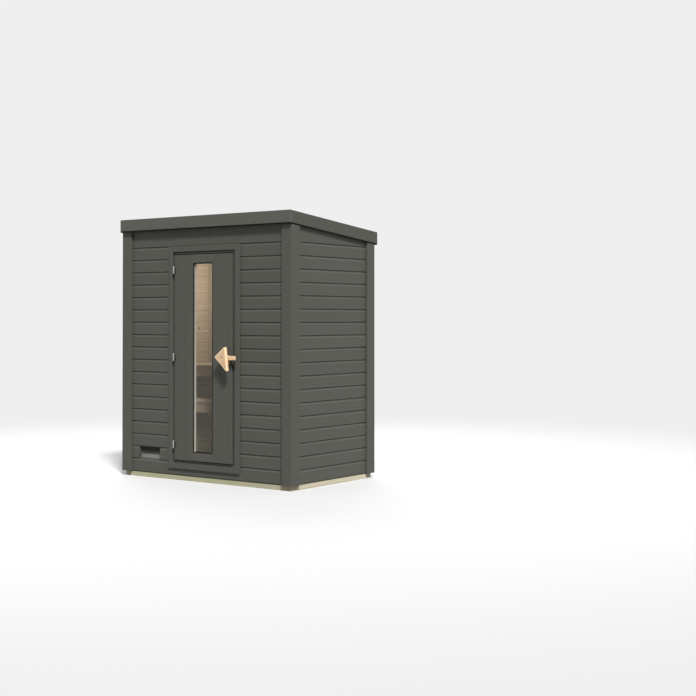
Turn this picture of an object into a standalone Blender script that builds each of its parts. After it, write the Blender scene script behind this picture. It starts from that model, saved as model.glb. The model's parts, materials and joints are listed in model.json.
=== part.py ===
"""Outdoor sauna cabin with a lean-to roof, a glazed pine door and two benches inside.

The origin is the middle of the footprint on the ground. +X is right, -Y is the front, +Z is up.
Lengths are metres. Depths along Y are counted from the front face of the wall boards.
"""

import math

import bmesh
import bpy
from mathutils import Matrix, Vector

# Gap kept between neighbouring solids
GAP = 0.0003

# Wall boards
WALL_WIDTH = 1.905
WALL_DEPTH = 1.135
WALL_THICK = 0.038
BOARD_COVER = 0.110
BOARD_ROWS = 18
DRIP_EDGE = 0.008
JOINT_DEPTH = 0.008
JOINT_ABOVE = 0.005
JOINT_BELOW = 0.014
INNER_JOINT_DEPTH = 0.004
INNER_JOINT_HALF = 0.004

# Base timbers and floor
BASE_HEIGHT = 0.043
BASE_WIDTH = 0.070
BASE_INSET = 0.006
FLOOR_THICK = 0.020

# Corner boards
POST_LEG = 0.110
POST_THICK = 0.020
POST_ROUND = 0.005

# Roof
ROOF_SLOPE = 0.0955
FASCIA_LOW_FRONT = 2.184
FASCIA_HEIGHT = 0.102
FASCIA_THICK = 0.020
ROOF_FRONT = 0.044
ROOF_BACK = 0.058
ROOF_SIDE = 0.025
PANEL_RAISE = 0.058
PANEL_THICK = 0.038
MEMBRANE_THICK = 0.004

# Doorway: casing, lining and leaf
CASING_HALF = 0.4075
CASING_TOP = 2.031
CASING_FOOT = 0.101
CASING_WIDTH = 0.051
CASING_THICK = 0.015
LINING_FACE = 0.020
LINING_THICK = 0.040
LINING_DEPTH = 0.058
STOP_REACH = 0.018
DOOR_GAP = 0.0075
STOP_GAP = 0.005
LEAF_THICK = 0.040
LEAF_PROUD = 0.017
LEAF_ROUND = 0.003
LEAF_JOINTS = (0.041, 0.125)
LEAF_JOINT_HALF = 0.0022
LEAF_JOINT_DEPTH = 0.0025

# Glass of the door
GLASS_WIDTH = 0.2285
RAIL_HEIGHT = 0.071
GLASS_THICK = 0.005
GLASS_SETBACK = 0.006
GASKET_WIDTH = 0.0105
BEAD_WIDTH = 0.006

# Hinges
KNUCKLE_RADIUS = 0.0065
KNUCKLE_HEIGHT = 0.031
KNUCKLE_GAP = 0.001
KNUCKLE_PROUD = 0.028
HINGE_PLATE = 0.002
HINGE_PLATE_IN_LEAF = 0.030
HINGE_PLATE_IN_JAMB = 0.024
HINGE_END = 0.129
KNUCKLE_EASE = 0.0006

# Outer handle, seen from the front: middles of its three round corners, as (x, z)
HANDLE_APEX = (0.2138, 1.077)
HANDLE_TOP = (0.313, 1.154)
HANDLE_BOTTOM = (0.337, 0.964)
HANDLE_ROUND = 0.009
HANDLE_THICK = 0.029
HANDLE_OFF = 0.083
BLOCK_LEFT = 0.272
BLOCK_RIGHT = 0.337
BLOCK_LOW = 1.018
BLOCK_HIGH = 1.092
BAR_RIGHT = 0.402
BAR_LOW = 1.053
BAR_OFF = 0.022
BAR_THICK = 0.022

# Inner grip
GRIP_LEFT = 0.262
GRIP_WIDTH = 0.028
GRIP_LOW = 0.980
GRIP_HIGH = 1.170
GRIP_OFF = 0.052
GRIP_THICK = 0.020
GRIP_FOOT = 0.028

# Air intake
VENT_LEFT = -0.775
VENT_RIGHT = -0.522
VENT_SILL_RISE = 0.042
VENT_SILL_SET = 0.022
VENT_SILL_TOP = 0.006

# Benches and backrest
UPPER_FRONT = 0.550
UPPER_TOP = 0.976
LOWER_FRONT = 0.300
LOWER_BACK = 0.600
LOWER_TOP = 0.671
BENCH_THICK = 0.024
SLAT_WIDTH = 0.088
SLAT_SPACE = 0.012
APRON_HEIGHT = 0.105
APRON_THICK = 0.026
NOSING = 0.004
BEARER_WIDTH = 0.045
BEARER_HEIGHT = 0.045
BEARER_END = 0.040
BACKREST_LOW = 1.141
BACKREST_HIGH = 1.501
BACKREST_HALF = 0.840
REST_SLATS = 3
REST_SPACE = 0.022
REST_THICK = 0.018
UPRIGHT_THICK = 0.022
UPRIGHT_SPREAD = 0.700
LET_IN = 0.003

HALF_WIDTH = WALL_WIDTH / 2
FRONT = -WALL_DEPTH / 2
BACK = WALL_DEPTH / 2
WALL_FOOT = BASE_HEIGHT
FLOOR_TOP = BASE_HEIGHT + GAP + FLOOR_THICK
ROOF_FACE = FRONT - ROOF_FRONT
ROOF_REAR = BACK + ROOF_BACK
ROOF_HALF = HALF_WIDTH + ROOF_SIDE

COLOURS = {
    "painted_board": ((0.080, 0.080, 0.068), 0.65, 0.0),
    "painted_trim": ((0.108, 0.105, 0.092), 0.60, 0.0),
    "base_timber": ((0.520, 0.520, 0.330), 0.75, 0.0),
    "spruce": ((0.640, 0.430, 0.250), 0.60, 0.0),
    "pine_handle": ((0.800, 0.500, 0.260), 0.55, 0.0),
    "roof_membrane": ((0.035, 0.036, 0.038), 0.90, 0.0),
    "glass": ((0.800, 0.850, 0.830), 0.05, 0.0),
    "gasket": ((0.010, 0.010, 0.010), 0.70, 0.0),
    "hinge_steel": ((0.600, 0.600, 0.590), 0.35, 1.0),
}


def clear_scene():
    for old in list(bpy.data.objects):
        bpy.data.objects.remove(old, do_unlink=True)


def make_collection(name):
    group = bpy.data.collections.new(name)
    bpy.context.scene.collection.children.link(group)
    return group


def make_material(name, finish):
    colour, roughness, metallic = finish
    material = bpy.data.materials.new(name)
    material.use_nodes = True
    shader = material.node_tree.nodes["Principled BSDF"]
    shader.inputs["Base Color"].default_value = (*colour, 1.0)
    shader.inputs["Roughness"].default_value = roughness
    shader.inputs["Metallic"].default_value = metallic
    material.diffuse_color = (*colour, 1.0)
    return material


def add_object(name, bm, finish, group):
    """Turns a bmesh into a named object with its own material."""
    bmesh.ops.recalc_face_normals(bm, faces=bm.faces[:])
    mesh = bpy.data.meshes.new(name)
    bm.to_mesh(mesh)
    bm.free()
    obj = bpy.data.objects.new(name, mesh)
    group.objects.link(obj)
    if finish:
        obj.data.materials.append(make_material(name + "_finish", COLOURS[finish]))
    return obj


def round_edges(obj, width, segments=2):
    bevel = obj.modifiers.new("rounded edges", "BEVEL")
    bevel.width = width
    bevel.segments = segments
    bevel.limit_method = "ANGLE"
    bevel.angle_limit = math.radians(30)


def box_bmesh(low, high):
    """A box between two corners, from the unit cube."""
    size = [high[i] - low[i] for i in range(3)]
    middle = [(high[i] + low[i]) / 2 for i in range(3)]
    bm = bmesh.new()
    place = Matrix.Translation(middle) @ Matrix.Diagonal((*size, 1.0))
    bmesh.ops.create_cube(bm, size=1.0, matrix=place)
    return bm


def plank(name, low, high, finish, edge=0.0015):
    """A sawn or planed board with slightly eased edges."""
    obj = add_object(name, box_bmesh(low, high), finish, parts)
    if edge:
        round_edges(obj, edge, 1)
    return obj


def prism_bmesh(outline, axis, start, end):
    """An outline of (u, v) points carried along an axis.

    Along X the outline is (y, z), along Y it is (x, z) and along Z it is (x, y).
    """
    spread = {
        "X": lambda u, v: Vector((start, u, v)),
        "Y": lambda u, v: Vector((u, start, v)),
        "Z": lambda u, v: Vector((u, v, start)),
    }[axis]
    way = {"X": Vector((1, 0, 0)), "Y": Vector((0, 1, 0)), "Z": Vector((0, 0, 1))}[axis]
    bm = bmesh.new()
    ring = [bm.verts.new(spread(u, v)) for u, v in outline]
    face = bm.faces.new(ring)
    grown = bmesh.ops.extrude_face_region(bm, geom=[face])
    moved = [item for item in grown["geom"] if isinstance(item, bmesh.types.BMVert)]
    bmesh.ops.translate(bm, verts=moved, vec=way * (end - start))
    bmesh.ops.recalc_face_normals(bm, faces=bm.faces[:])
    return bm


def cut_off(bm, point, normal):
    """Removes what lies on the normal's side of a plane and closes the cut."""
    everything = bm.verts[:] + bm.edges[:] + bm.faces[:]
    cut = bmesh.ops.bisect_plane(
        bm, geom=everything, plane_co=point, plane_no=normal, clear_outer=True
    )
    rim = [item for item in cut["geom_cut"] if isinstance(item, bmesh.types.BMEdge)]
    bmesh.ops.contextual_create(bm, geom=rim)


def rounded(points, radii, steps=4):
    """A polygon whose corners are arcs of the given radii."""
    outline = []
    count = len(points)
    for i, radius in enumerate(radii):
        corner = Vector(points[i])
        before = (Vector(points[i - 1]) - corner).normalized()
        after = (Vector(points[(i + 1) % count]) - corner).normalized()
        if not radius:
            outline.append(tuple(corner))
            continue
        half = before.angle(after) / 2
        centre = corner + (before + after).normalized() * radius / math.sin(half)
        first = corner + before * radius / math.tan(half) - centre
        last = corner + after * radius / math.tan(half) - centre
        turn = first.angle_signed(last)
        for k in range(steps + 1):
            angle = -turn * k / steps
            spoke = Matrix.Rotation(angle, 2) @ first
            outline.append(tuple(centre + spoke))
    return outline


def round_triangle(middles, radius, steps=6):
    """The outline that three equal circles and the straight lines along them make."""
    outline = []
    count = len(middles)
    for i in range(count):
        middle = Vector(middles[i])
        come = (middle - Vector(middles[i - 1])).normalized()
        go = (Vector(middles[(i + 1) % count]) - middle).normalized()
        turn = math.atan2(come.x * go.y - come.y * go.x, come.dot(go))
        side = math.copysign(1, turn)
        spoke = Vector((come.y, -come.x)) * radius * side
        for k in range(steps + 1):
            outline.append(tuple(middle + Matrix.Rotation(turn * k / steps, 2) @ spoke))
    return outline


def fascia_low(y):
    """Height of the fascia's lower edge at a place along Y."""
    return FASCIA_LOW_FRONT - ROOF_SLOPE * (y - ROOF_FACE)


def cut_by_roof(bm, raise_by):
    """Cuts a wall off along the slope of the roof, raised above the fascia's lower edge."""
    normal = Vector((0, ROOF_SLOPE, 1)).normalized()
    cut_off(bm, (0, 0, fascia_low(0) + raise_by), normal)


def joint_heights(low, high):
    """Heights of the V-joints between boards, clear of both ends of a wall piece."""
    first = WALL_FOOT + DRIP_EDGE
    heights = [first + BOARD_COVER * row for row in range(1, BOARD_ROWS + 1)]
    return [z for z in heights if low + JOINT_BELOW < z < high - JOINT_ABOVE]


def boarded_face(low, high, depth, above, below):
    """One face of a boarded wall as (depth, height), with its V-joints."""
    line = [(0.0, low)]
    for z in joint_heights(low, high):
        line += [(0.0, z - below), (depth, z), (0.0, z + above)]
    line.append((0.0, high))
    return line


def board_profile(low, high):
    """Section of a boarded wall: wide weathering joints outside, and small even ones in the room."""
    outside = boarded_face(low, high, JOINT_DEPTH, JOINT_ABOVE, JOINT_BELOW)
    inside = boarded_face(low, high, INNER_JOINT_DEPTH, INNER_JOINT_HALF, INNER_JOINT_HALF)
    return outside + [(WALL_THICK - depth, z) for depth, z in reversed(inside)]


def front_or_back_wall(name, left, right, low, high, face, inward):
    """A boarded wall along X. The face is its outer plane, and inward is the way to the room."""
    outline = [(face + inward * depth, z) for depth, z in board_profile(low, high)]
    bm = prism_bmesh(outline, "X", left, right)
    cut_by_roof(bm, PANEL_RAISE - GAP)
    return add_object(name, bm, "painted_board", parts)


def side_wall(name, side):
    """A boarded wall between the front and back walls, with its top on the slope."""
    top = fascia_low(FRONT) + PANEL_RAISE
    profile = board_profile(WALL_FOOT + GAP, top)
    outline = [(side * (HALF_WIDTH - depth), z) for depth, z in profile]
    start = FRONT + WALL_THICK + GAP
    bm = prism_bmesh(outline, "Y", start, -start)
    cut_by_roof(bm, PANEL_RAISE - GAP)
    return add_object(name, bm, "painted_board", parts)


def combine(obj, helper_bm, name, operation):
    """Cuts a hidden helper shape from an object, or joins it on, with a Boolean modifier."""
    helper = add_object(name, helper_bm, None, cutters)
    helper.hide_render = True
    helper.display_type = "WIRE"
    boolean = obj.modifiers.new(name, "BOOLEAN")
    boolean.operation = operation
    boolean.solver = "EXACT"
    boolean.object = helper


def cut_with(obj, cutter_bm, name):
    combine(obj, cutter_bm, name, "DIFFERENCE")


def join_with(obj, added_bm, name):
    combine(obj, added_bm, name, "UNION")


def build_base():
    """A ladder of pressure-treated timbers, a little inside the wall faces, and the floor on it."""
    x = HALF_WIDTH - BASE_INSET
    y = BACK - BASE_INSET
    inner_x = x - BASE_WIDTH
    inner_y = y - BASE_WIDTH
    half = BASE_WIDTH / 2
    plank("base_timber_front", (-x, -y, 0), (x, -inner_y, BASE_HEIGHT), "base_timber")
    plank("base_timber_back", (-x, inner_y, 0), (x, y, BASE_HEIGHT), "base_timber")
    for name, left, right in (
        ("base_timber_left", -x, -inner_x),
        ("base_timber_middle", -half, half),
        ("base_timber_right", inner_x, x),
    ):
        low = (left, -inner_y + GAP, 0)
        plank(name, low, (right, inner_y - GAP, BASE_HEIGHT), "base_timber")
    room_x = HALF_WIDTH - WALL_THICK - GAP
    room_y = BACK - WALL_THICK - GAP
    low = (-room_x, -room_y, BASE_HEIGHT + GAP)
    plank("floor", low, (room_x, room_y, FLOOR_TOP), "spruce", 0)


def build_walls():
    """Boarded walls. The front one is split beside, over and under the doorway."""
    foot = WALL_FOOT + GAP
    doorway = lining_outer_half() + GAP
    top = fascia_low(FRONT) + PANEL_RAISE
    left = front_or_back_wall(
        "front_wall_left", -HALF_WIDTH, -doorway, foot, CASING_TOP - GAP, FRONT, 1
    )
    front_or_back_wall(
        "front_wall_right", doorway, HALF_WIDTH, foot, CASING_TOP - GAP, FRONT, 1
    )
    front_or_back_wall(
        "front_wall_top", -HALF_WIDTH, HALF_WIDTH, CASING_TOP, top, FRONT, 1
    )
    sill_top = leaf_low() - DOOR_GAP - LINING_THICK - GAP
    front_or_back_wall(
        "front_wall_sill", -doorway + GAP, doorway - GAP, foot, sill_top, FRONT, 1
    )
    front_or_back_wall("back_wall", -HALF_WIDTH, HALF_WIDTH, foot, top, BACK, -1)
    side_wall("left_wall", -1)
    side_wall("right_wall", 1)
    vent_low = WALL_FOOT + DRIP_EDGE + BOARD_COVER
    vent = box_bmesh(
        (VENT_LEFT, FRONT - WALL_THICK, vent_low),
        (VENT_RIGHT, FRONT + 2 * WALL_THICK, vent_low + BOARD_COVER),
    )
    cut_with(left, vent, "vent_cutter")
    wedge = [
        (FRONT + VENT_SILL_SET, vent_low + GAP),
        (FRONT + WALL_THICK, vent_low + GAP),
        (FRONT + WALL_THICK, vent_low + VENT_SILL_RISE),
        (FRONT + WALL_THICK - VENT_SILL_TOP, vent_low + VENT_SILL_RISE),
    ]
    bm = prism_bmesh(wedge, "X", VENT_LEFT + GAP, VENT_RIGHT - GAP)
    add_object("air_intake_sill", bm, "painted_trim", parts)


def build_corner(name, side, end):
    """An L-shaped corner board. Its outer leg runs up behind the fascia, and its side leg stops under it."""
    x0 = side * (HALF_WIDTH + GAP)
    y0 = end * (BACK + GAP)
    x1 = x0 + side * POST_THICK
    y1 = y0 + end * POST_THICK
    x2 = x1 - side * POST_LEG
    y2 = y1 - end * POST_LEG
    corners = [(x0, y0), (x2, y0), (x2, y1), (x1, y1), (x1, y2), (x0, y2)]
    outline = rounded(corners, [0, 0, POST_ROUND, POST_ROUND, POST_ROUND, 0])
    bm = prism_bmesh(outline, "Z", WALL_FOOT + GAP, FASCIA_LOW_FRONT + FASCIA_HEIGHT)
    cut_by_roof(bm, PANEL_RAISE - GAP)
    post = add_object(name, bm, "painted_trim", parts)
    reach = 2 * POST_LEG
    near = x0 - side * GAP
    low = (min(near, near + side * reach), y0 - reach, fascia_low(BACK) - reach)
    high = (max(near, near + side * reach), y0 + reach, FASCIA_LOW_FRONT + reach)
    above = box_bmesh(low, high)
    below_fascia = fascia_low(0) - GAP
    cut_off(above, (0, 0, below_fascia), Vector((0, -ROOF_SLOPE, -1)).normalized())
    cut_with(post, above, name + "_top_cutter")


def sloped_slab(name, left, right, front, back, low, high, finish):
    """A slab on the slope of the roof, between two heights above the fascia's lower edge."""
    outline = [
        (front, fascia_low(front) + low),
        (back, fascia_low(back) + low),
        (back, fascia_low(back) + high),
        (front, fascia_low(front) + high),
    ]
    return add_object(name, prism_bmesh(outline, "X", left, right), finish, parts)


def ceiling_profile(front, back):
    """Section of the roof panel as (y, z), with V-joints on its underside where the room is."""
    level = [(back, fascia_low(back) + PANEL_RAISE)]
    joints = int((WALL_DEPTH - 2 * WALL_THICK) / BOARD_COVER)
    for row in range(joints + 1):
        y = BACK - WALL_THICK - (row + 0.5) * BOARD_COVER
        for shift in (INNER_JOINT_HALF, 0.0, -INNER_JOINT_HALF):
            rise = INNER_JOINT_DEPTH if shift == 0 else 0.0
            level.append((y + shift, fascia_low(y + shift) + PANEL_RAISE + rise))
    level.append((front, fascia_low(front) + PANEL_RAISE))
    top = PANEL_RAISE + PANEL_THICK
    return level + [(front, fascia_low(front) + top), (back, fascia_low(back) + top)]


def build_roof():
    """The boarded roof panel, its membrane, and the four fascia boards round them."""
    inner_x = ROOF_HALF - FASCIA_THICK - GAP
    inner_front = ROOF_FACE + FASCIA_THICK + GAP
    inner_back = ROOF_REAR - FASCIA_THICK - GAP
    top = PANEL_RAISE + PANEL_THICK
    bm = prism_bmesh(ceiling_profile(inner_front, inner_back), "X", -inner_x, inner_x)
    add_object("roof_panel", bm, "spruce", parts)
    sloped_slab(
        "roof_membrane", -inner_x, inner_x, inner_front, inner_back,
        top + GAP, top + GAP + MEMBRANE_THICK, "roof_membrane",
    )
    for name, y0, y1 in (
        ("fascia_front", ROOF_FACE, ROOF_FACE + FASCIA_THICK),
        ("fascia_back", ROOF_REAR - FASCIA_THICK, ROOF_REAR),
    ):
        board = sloped_slab(name, -ROOF_HALF, ROOF_HALF, y0, y1, 0, FASCIA_HEIGHT, "painted_trim")
        round_edges(board, LEAF_ROUND)
    for name, x0, x1 in (
        ("fascia_left", -ROOF_HALF, -ROOF_HALF + FASCIA_THICK),
        ("fascia_right", ROOF_HALF - FASCIA_THICK, ROOF_HALF),
    ):
        y0 = inner_front
        board = sloped_slab(name, x0, x1, y0, inner_back, 0, FASCIA_HEIGHT, "painted_trim")
        round_edges(board, LEAF_ROUND)


def lining_inner_half():
    return CASING_HALF - CASING_WIDTH - LINING_FACE


def lining_outer_half():
    return lining_inner_half() + LINING_THICK


def leaf_half():
    return lining_inner_half() - DOOR_GAP


def leaf_low():
    return CASING_FOOT + CASING_WIDTH + LINING_FACE + DOOR_GAP


def leaf_high():
    return CASING_TOP - CASING_WIDTH - LINING_FACE - DOOR_GAP


def lining_profile(thick):
    """Section of the lining as (depth, distance out from the opening), with the stop behind the leaf."""
    rebate = LEAF_THICK - LEAF_PROUD + STOP_GAP
    return [
        (0.0, 0.0),
        (0.0, thick),
        (LINING_DEPTH, thick),
        (LINING_DEPTH, -STOP_REACH),
        (rebate, -STOP_REACH),
        (rebate, 0.0),
    ]


def build_lining():
    """The rebated frame that the leaf closes into, mitred at its corners."""
    inner = lining_inner_half()
    low = leaf_low() - DOOR_GAP
    high = leaf_high() + DOOR_GAP
    header = CASING_TOP - GAP - high
    reach = STOP_REACH + 2 * LINING_THICK
    mitre = GAP / 2
    for name, side in (("door_lining_left", -1), ("door_lining_right", 1)):
        outline = [(side * (inner + out), FRONT + depth) for depth, out in lining_profile(LINING_THICK)]
        bm = prism_bmesh(outline, "Z", low - reach, high + reach)
        cut_off(bm, (side * inner, 0, high - mitre), Vector((-side, 0, 1)).normalized())
        cut_off(bm, (side * inner, 0, low + mitre), Vector((-side, 0, -1)).normalized())
        add_object(name, bm, "painted_trim", parts)
    for name, level, way, thick in (
        ("door_lining_head", high, 1, header),
        ("door_threshold", low, -1, LINING_THICK),
    ):
        outline = [(FRONT + depth, level + way * out) for depth, out in lining_profile(thick)]
        outer = lining_outer_half()
        bm = prism_bmesh(outline, "X", -outer, outer)
        for side in (-1, 1):
            point = (side * inner, 0, level + way * mitre)
            cut_off(bm, point, Vector((side, 0, -way)).normalized())
        add_object(name, bm, "painted_trim", parts)


def build_casing():
    """Four cover strips that hide the joint between the lining and the wall boards."""
    outer = CASING_HALF
    inner = outer - CASING_WIDTH
    face = FRONT - GAP - CASING_THICK
    rear = FRONT - GAP
    for name, x0, x1 in (("casing_left", -outer, -inner), ("casing_right", inner, outer)):
        plank(name, (x0, face, CASING_FOOT), (x1, rear, CASING_TOP), "painted_trim", 0.002)
    x = inner - GAP
    top = CASING_TOP - CASING_WIDTH
    foot = CASING_FOOT + CASING_WIDTH
    plank("casing_head", (-x, face, top), (x, rear, CASING_TOP), "painted_trim", 0.002)
    plank("casing_foot", (-x, face, CASING_FOOT), (x, rear, foot), "painted_trim", 0.002)


def ring_bmesh(outer, inner, front, back):
    """A flat frame in the plane of the door, from half sizes (x, z) round a middle height."""
    middle = (leaf_low() + leaf_high()) / 2
    bm = bmesh.new()
    loops = []
    for y in (front, back):
        for half_x, half_z in (outer, inner):
            signs = ((-1, -1), (1, -1), (1, 1), (-1, 1))
            loops.append([bm.verts.new((sx * half_x, y, middle + sz * half_z)) for sx, sz in signs])
    for one, two in ((0, 1), (1, 3), (3, 2), (2, 0)):
        for i in range(4):
            j = (i + 1) % 4
            bm.faces.new((loops[one][i], loops[one][j], loops[two][j], loops[two][i]))
    return bm


def stile_profile(side, inner, outer, front, back):
    """Section of a boarded stile as (x, y), with two fine V-joints on each face."""
    face = [(inner, 0.0)]
    for inset in sorted(LEAF_JOINTS, reverse=True):
        x = outer - inset
        face += [(x - LEAF_JOINT_HALF, 0.0), (x, LEAF_JOINT_DEPTH), (x + LEAF_JOINT_HALF, 0.0)]
    ease = LEAF_ROUND
    face += [(outer - ease, 0.0), (outer, ease)]
    outside = [(side * x, front + depth) for x, depth in face]
    inside = [(side * x, back - depth) for x, depth in reversed(face)]
    return outside + inside


def build_leaf():
    """Two boarded stiles and two rails round a tall narrow pane, which sits near the front face."""
    half = leaf_half()
    low = leaf_low()
    high = leaf_high()
    front = FRONT - LEAF_PROUD
    back = front + LEAF_THICK
    opening = GLASS_WIDTH / 2
    for name, side in (("door_stile_left", -1), ("door_stile_right", 1)):
        outline = stile_profile(side, opening, half, front, back)
        add_object(name, prism_bmesh(outline, "Z", low, high), "painted_trim", parts)
    x = opening - GAP
    plank("door_rail_bottom", (-x, front, low), (x, back, low + RAIL_HEIGHT), "painted_trim", 0.001)
    plank("door_rail_top", (-x, front, high - RAIL_HEIGHT), (x, back, high), "painted_trim", 0.001)
    half_z = (high - low) / 2 - RAIL_HEIGHT - GAP
    pane_front = front + GLASS_SETBACK
    pane_back = pane_front + GLASS_THICK
    middle = (low + high) / 2
    plank(
        "door_glass", (-x, pane_front, middle - half_z), (x, pane_back, middle + half_z), "glass", 0
    )
    outer = (x, half_z)
    slim = (x - GASKET_WIDTH, half_z - GASKET_WIDTH)
    gasket = ring_bmesh(outer, slim, front + 0.001, pane_front - GAP)
    add_object("door_glass_gasket", gasket, "gasket", parts)
    slim = (x - BEAD_WIDTH, half_z - BEAD_WIDTH)
    bead = ring_bmesh(outer, slim, pane_back + GAP, back)
    add_object("door_glass_bead", bead, "spruce", parts)


def hinge_outline(side, plate_reach):
    """Section of one hinge half: a round knuckle with its plate as a tail, offset to one side."""
    outer = DOOR_GAP / 2 - GAP
    offsets = sorted((side * outer, side * (outer - HINGE_PLATE)))
    low, high = offsets
    start = math.atan2(math.sqrt(KNUCKLE_RADIUS**2 - low**2), low)
    end = math.atan2(math.sqrt(KNUCKLE_RADIUS**2 - high**2), high) + 2 * math.pi
    steps = 18
    arc = []
    for k in range(steps + 1):
        angle = start + (end - start) * k / steps
        arc.append((KNUCKLE_RADIUS * math.cos(angle), KNUCKLE_RADIUS * math.sin(angle)))
    return [(low, plate_reach)] + arc + [(high, plate_reach)]


def build_hinges():
    """Three barrel hinges in the gap on the left. The upper knuckle of each turns with the leaf."""
    pivot_x = -leaf_half() - DOOR_GAP / 2
    pivot_y = FRONT - KNUCKLE_PROUD
    middle = (leaf_low() + leaf_high()) / 2
    in_leaf = KNUCKLE_PROUD - LEAF_PROUD + HINGE_PLATE_IN_LEAF
    in_jamb = KNUCKLE_PROUD + HINGE_PLATE_IN_JAMB
    for place, z in (
        ("top", leaf_high() - HINGE_END),
        ("middle", middle),
        ("bottom", leaf_low() + HINGE_END),
    ):
        for half, side, reach, low in (
            ("leaf", 1, in_leaf, z + KNUCKLE_GAP / 2),
            ("jamb", -1, in_jamb, z - KNUCKLE_GAP / 2 - KNUCKLE_HEIGHT),
        ):
            outline = [(pivot_x + u, pivot_y + v) for u, v in hinge_outline(side, reach)]
            bm = prism_bmesh(outline, "Z", low, low + KNUCKLE_HEIGHT)
            ends = [edge for edge in bm.edges if abs(edge.verts[0].co.z - edge.verts[1].co.z) < GAP]
            bmesh.ops.bevel(bm, geom=ends, offset=KNUCKLE_EASE, segments=1, affect="EDGES")
            obj = add_object(f"hinge_{place}_{half}", bm, "hinge_steel", parts)
            obj.data.shade_smooth()
            obj.data.set_sharp_from_angle(angle=math.radians(35))


def build_handles():
    """The outer handle is a rounded triangle on a block, with a bar across the jamb. Inside is a plain grip."""
    leaf_face = FRONT - LEAF_PROUD
    face = leaf_face - HANDLE_OFF
    rear = face + HANDLE_THICK
    outline = round_triangle([HANDLE_APEX, HANDLE_BOTTOM, HANDLE_TOP], HANDLE_ROUND)
    plate = add_object("handle_plate", prism_bmesh(outline, "Y", face, rear), "pine_handle", parts)
    round_edges(plate, 0.004)
    low = (BLOCK_LEFT, rear + GAP, BLOCK_LOW)
    plank("handle_block", low, (BLOCK_RIGHT, leaf_face - GAP, BLOCK_HIGH), "pine_handle", 0.002)
    bar_rear = leaf_face - BAR_OFF
    low = (BLOCK_RIGHT + GAP, bar_rear - BAR_THICK, BAR_LOW)
    plank("handle_bar", low, (BAR_RIGHT, bar_rear, BLOCK_HIGH), "pine_handle", 0.002)
    inside = leaf_face + LEAF_THICK + GAP
    outer = inside + GRIP_OFF
    corners = [
        (inside, GRIP_LOW), (outer, GRIP_LOW), (outer, GRIP_HIGH), (inside, GRIP_HIGH),
        (inside, GRIP_HIGH - GRIP_FOOT), (outer - GRIP_THICK, GRIP_HIGH - GRIP_FOOT),
        (outer - GRIP_THICK, GRIP_LOW + GRIP_FOOT), (inside, GRIP_LOW + GRIP_FOOT),
    ]
    outline = rounded(corners, [0, 0.012, 0.012, 0, 0, 0.006, 0.006, 0])
    bm = prism_bmesh(outline, "X", GRIP_LEFT, GRIP_LEFT + GRIP_WIDTH)
    grip = add_object("inner_grip", bm, "pine_handle", parts)
    round_edges(grip, 0.002, 1)


def bench(name, front, back, top):
    """A bench from wall to wall: slats on three bearers, with an apron under the front slat."""
    half = HALF_WIDTH - WALL_THICK - GAP
    y0 = FRONT + front
    y1 = FRONT + back
    under = top - BENCH_THICK
    slats = round((back - front + SLAT_SPACE) / (SLAT_WIDTH + SLAT_SPACE))
    pitch = (y1 - y0 + SLAT_SPACE) / slats
    rows = [(y0 + pitch * i, y0 + pitch * (i + 1) - SLAT_SPACE) for i in range(slats)]
    boxes = [box_bmesh((-half, near, under), (half, far, top)) for near, far in rows]
    seat = add_object(name, boxes[0], "spruce", parts)
    for i, slat in enumerate(boxes[1:], 2):
        join_with(seat, slat, f"{name}_slat_{i}")
    end = half - LET_IN
    apron = box_bmesh(
        (-end, y0 + NOSING, top - APRON_HEIGHT), (end, y0 + NOSING + APRON_THICK, under + LET_IN)
    )
    join_with(seat, apron, name + "_apron")
    reach = half - BEARER_END - BEARER_WIDTH / 2
    for place, x in (("left", -reach), ("middle", 0.0), ("right", reach)):
        low = (x - BEARER_WIDTH / 2, y0 + NOSING + APRON_THICK - LET_IN, under - BEARER_HEIGHT)
        high = (x + BEARER_WIDTH / 2, y1 - NOSING, under + LET_IN)
        join_with(seat, box_bmesh(low, high), f"{name}_bearer_{place}")


def build_backrest():
    """Three slats on three uprights that stand against the back wall."""
    y1 = BACK - WALL_THICK - GAP
    y0 = y1 - UPRIGHT_THICK
    pitch = (BACKREST_HIGH - BACKREST_LOW + REST_SPACE) / REST_SLATS
    boxes = []
    for i in range(REST_SLATS):
        low = BACKREST_LOW + pitch * i
        high = low + pitch - REST_SPACE
        boxes.append(
            box_bmesh((-BACKREST_HALF, y0 - REST_THICK, low), (BACKREST_HALF, y0 + LET_IN, high))
        )
    rest = add_object("backrest", boxes[0], "spruce", parts)
    for i, slat in enumerate(boxes[1:], 2):
        join_with(rest, slat, f"backrest_slat_{i}")
    for place, x in (("left", -UPRIGHT_SPREAD), ("middle", 0.0), ("right", UPRIGHT_SPREAD)):
        low = (x - BEARER_WIDTH / 2, y0, BACKREST_LOW + LET_IN)
        high = (x + BEARER_WIDTH / 2, y1, BACKREST_HIGH - LET_IN)
        join_with(rest, box_bmesh(low, high), f"backrest_upright_{place}")


def build_interior():
    """Upper and lower bench along the back wall, and the backrest over them."""
    room_back = WALL_DEPTH - WALL_THICK - GAP
    bench("upper_bench", UPPER_FRONT, room_back, UPPER_TOP)
    bench("lower_bench", LOWER_FRONT, LOWER_BACK, LOWER_TOP)
    build_backrest()


clear_scene()
parts = make_collection("outdoor_sauna_cabin")
cutters = make_collection("cutters")
cutters.hide_render = True
build_base()
build_walls()
for corner_name, corner_side, corner_end in (
    ("corner_front_left", -1, -1),
    ("corner_front_right", 1, -1),
    ("corner_back_left", -1, 1),
    ("corner_back_right", 1, 1),
):
    build_corner(corner_name, corner_side, corner_end)
build_roof()
build_lining()
build_casing()
build_leaf()
build_hinges()
build_handles()
build_interior()
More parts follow.
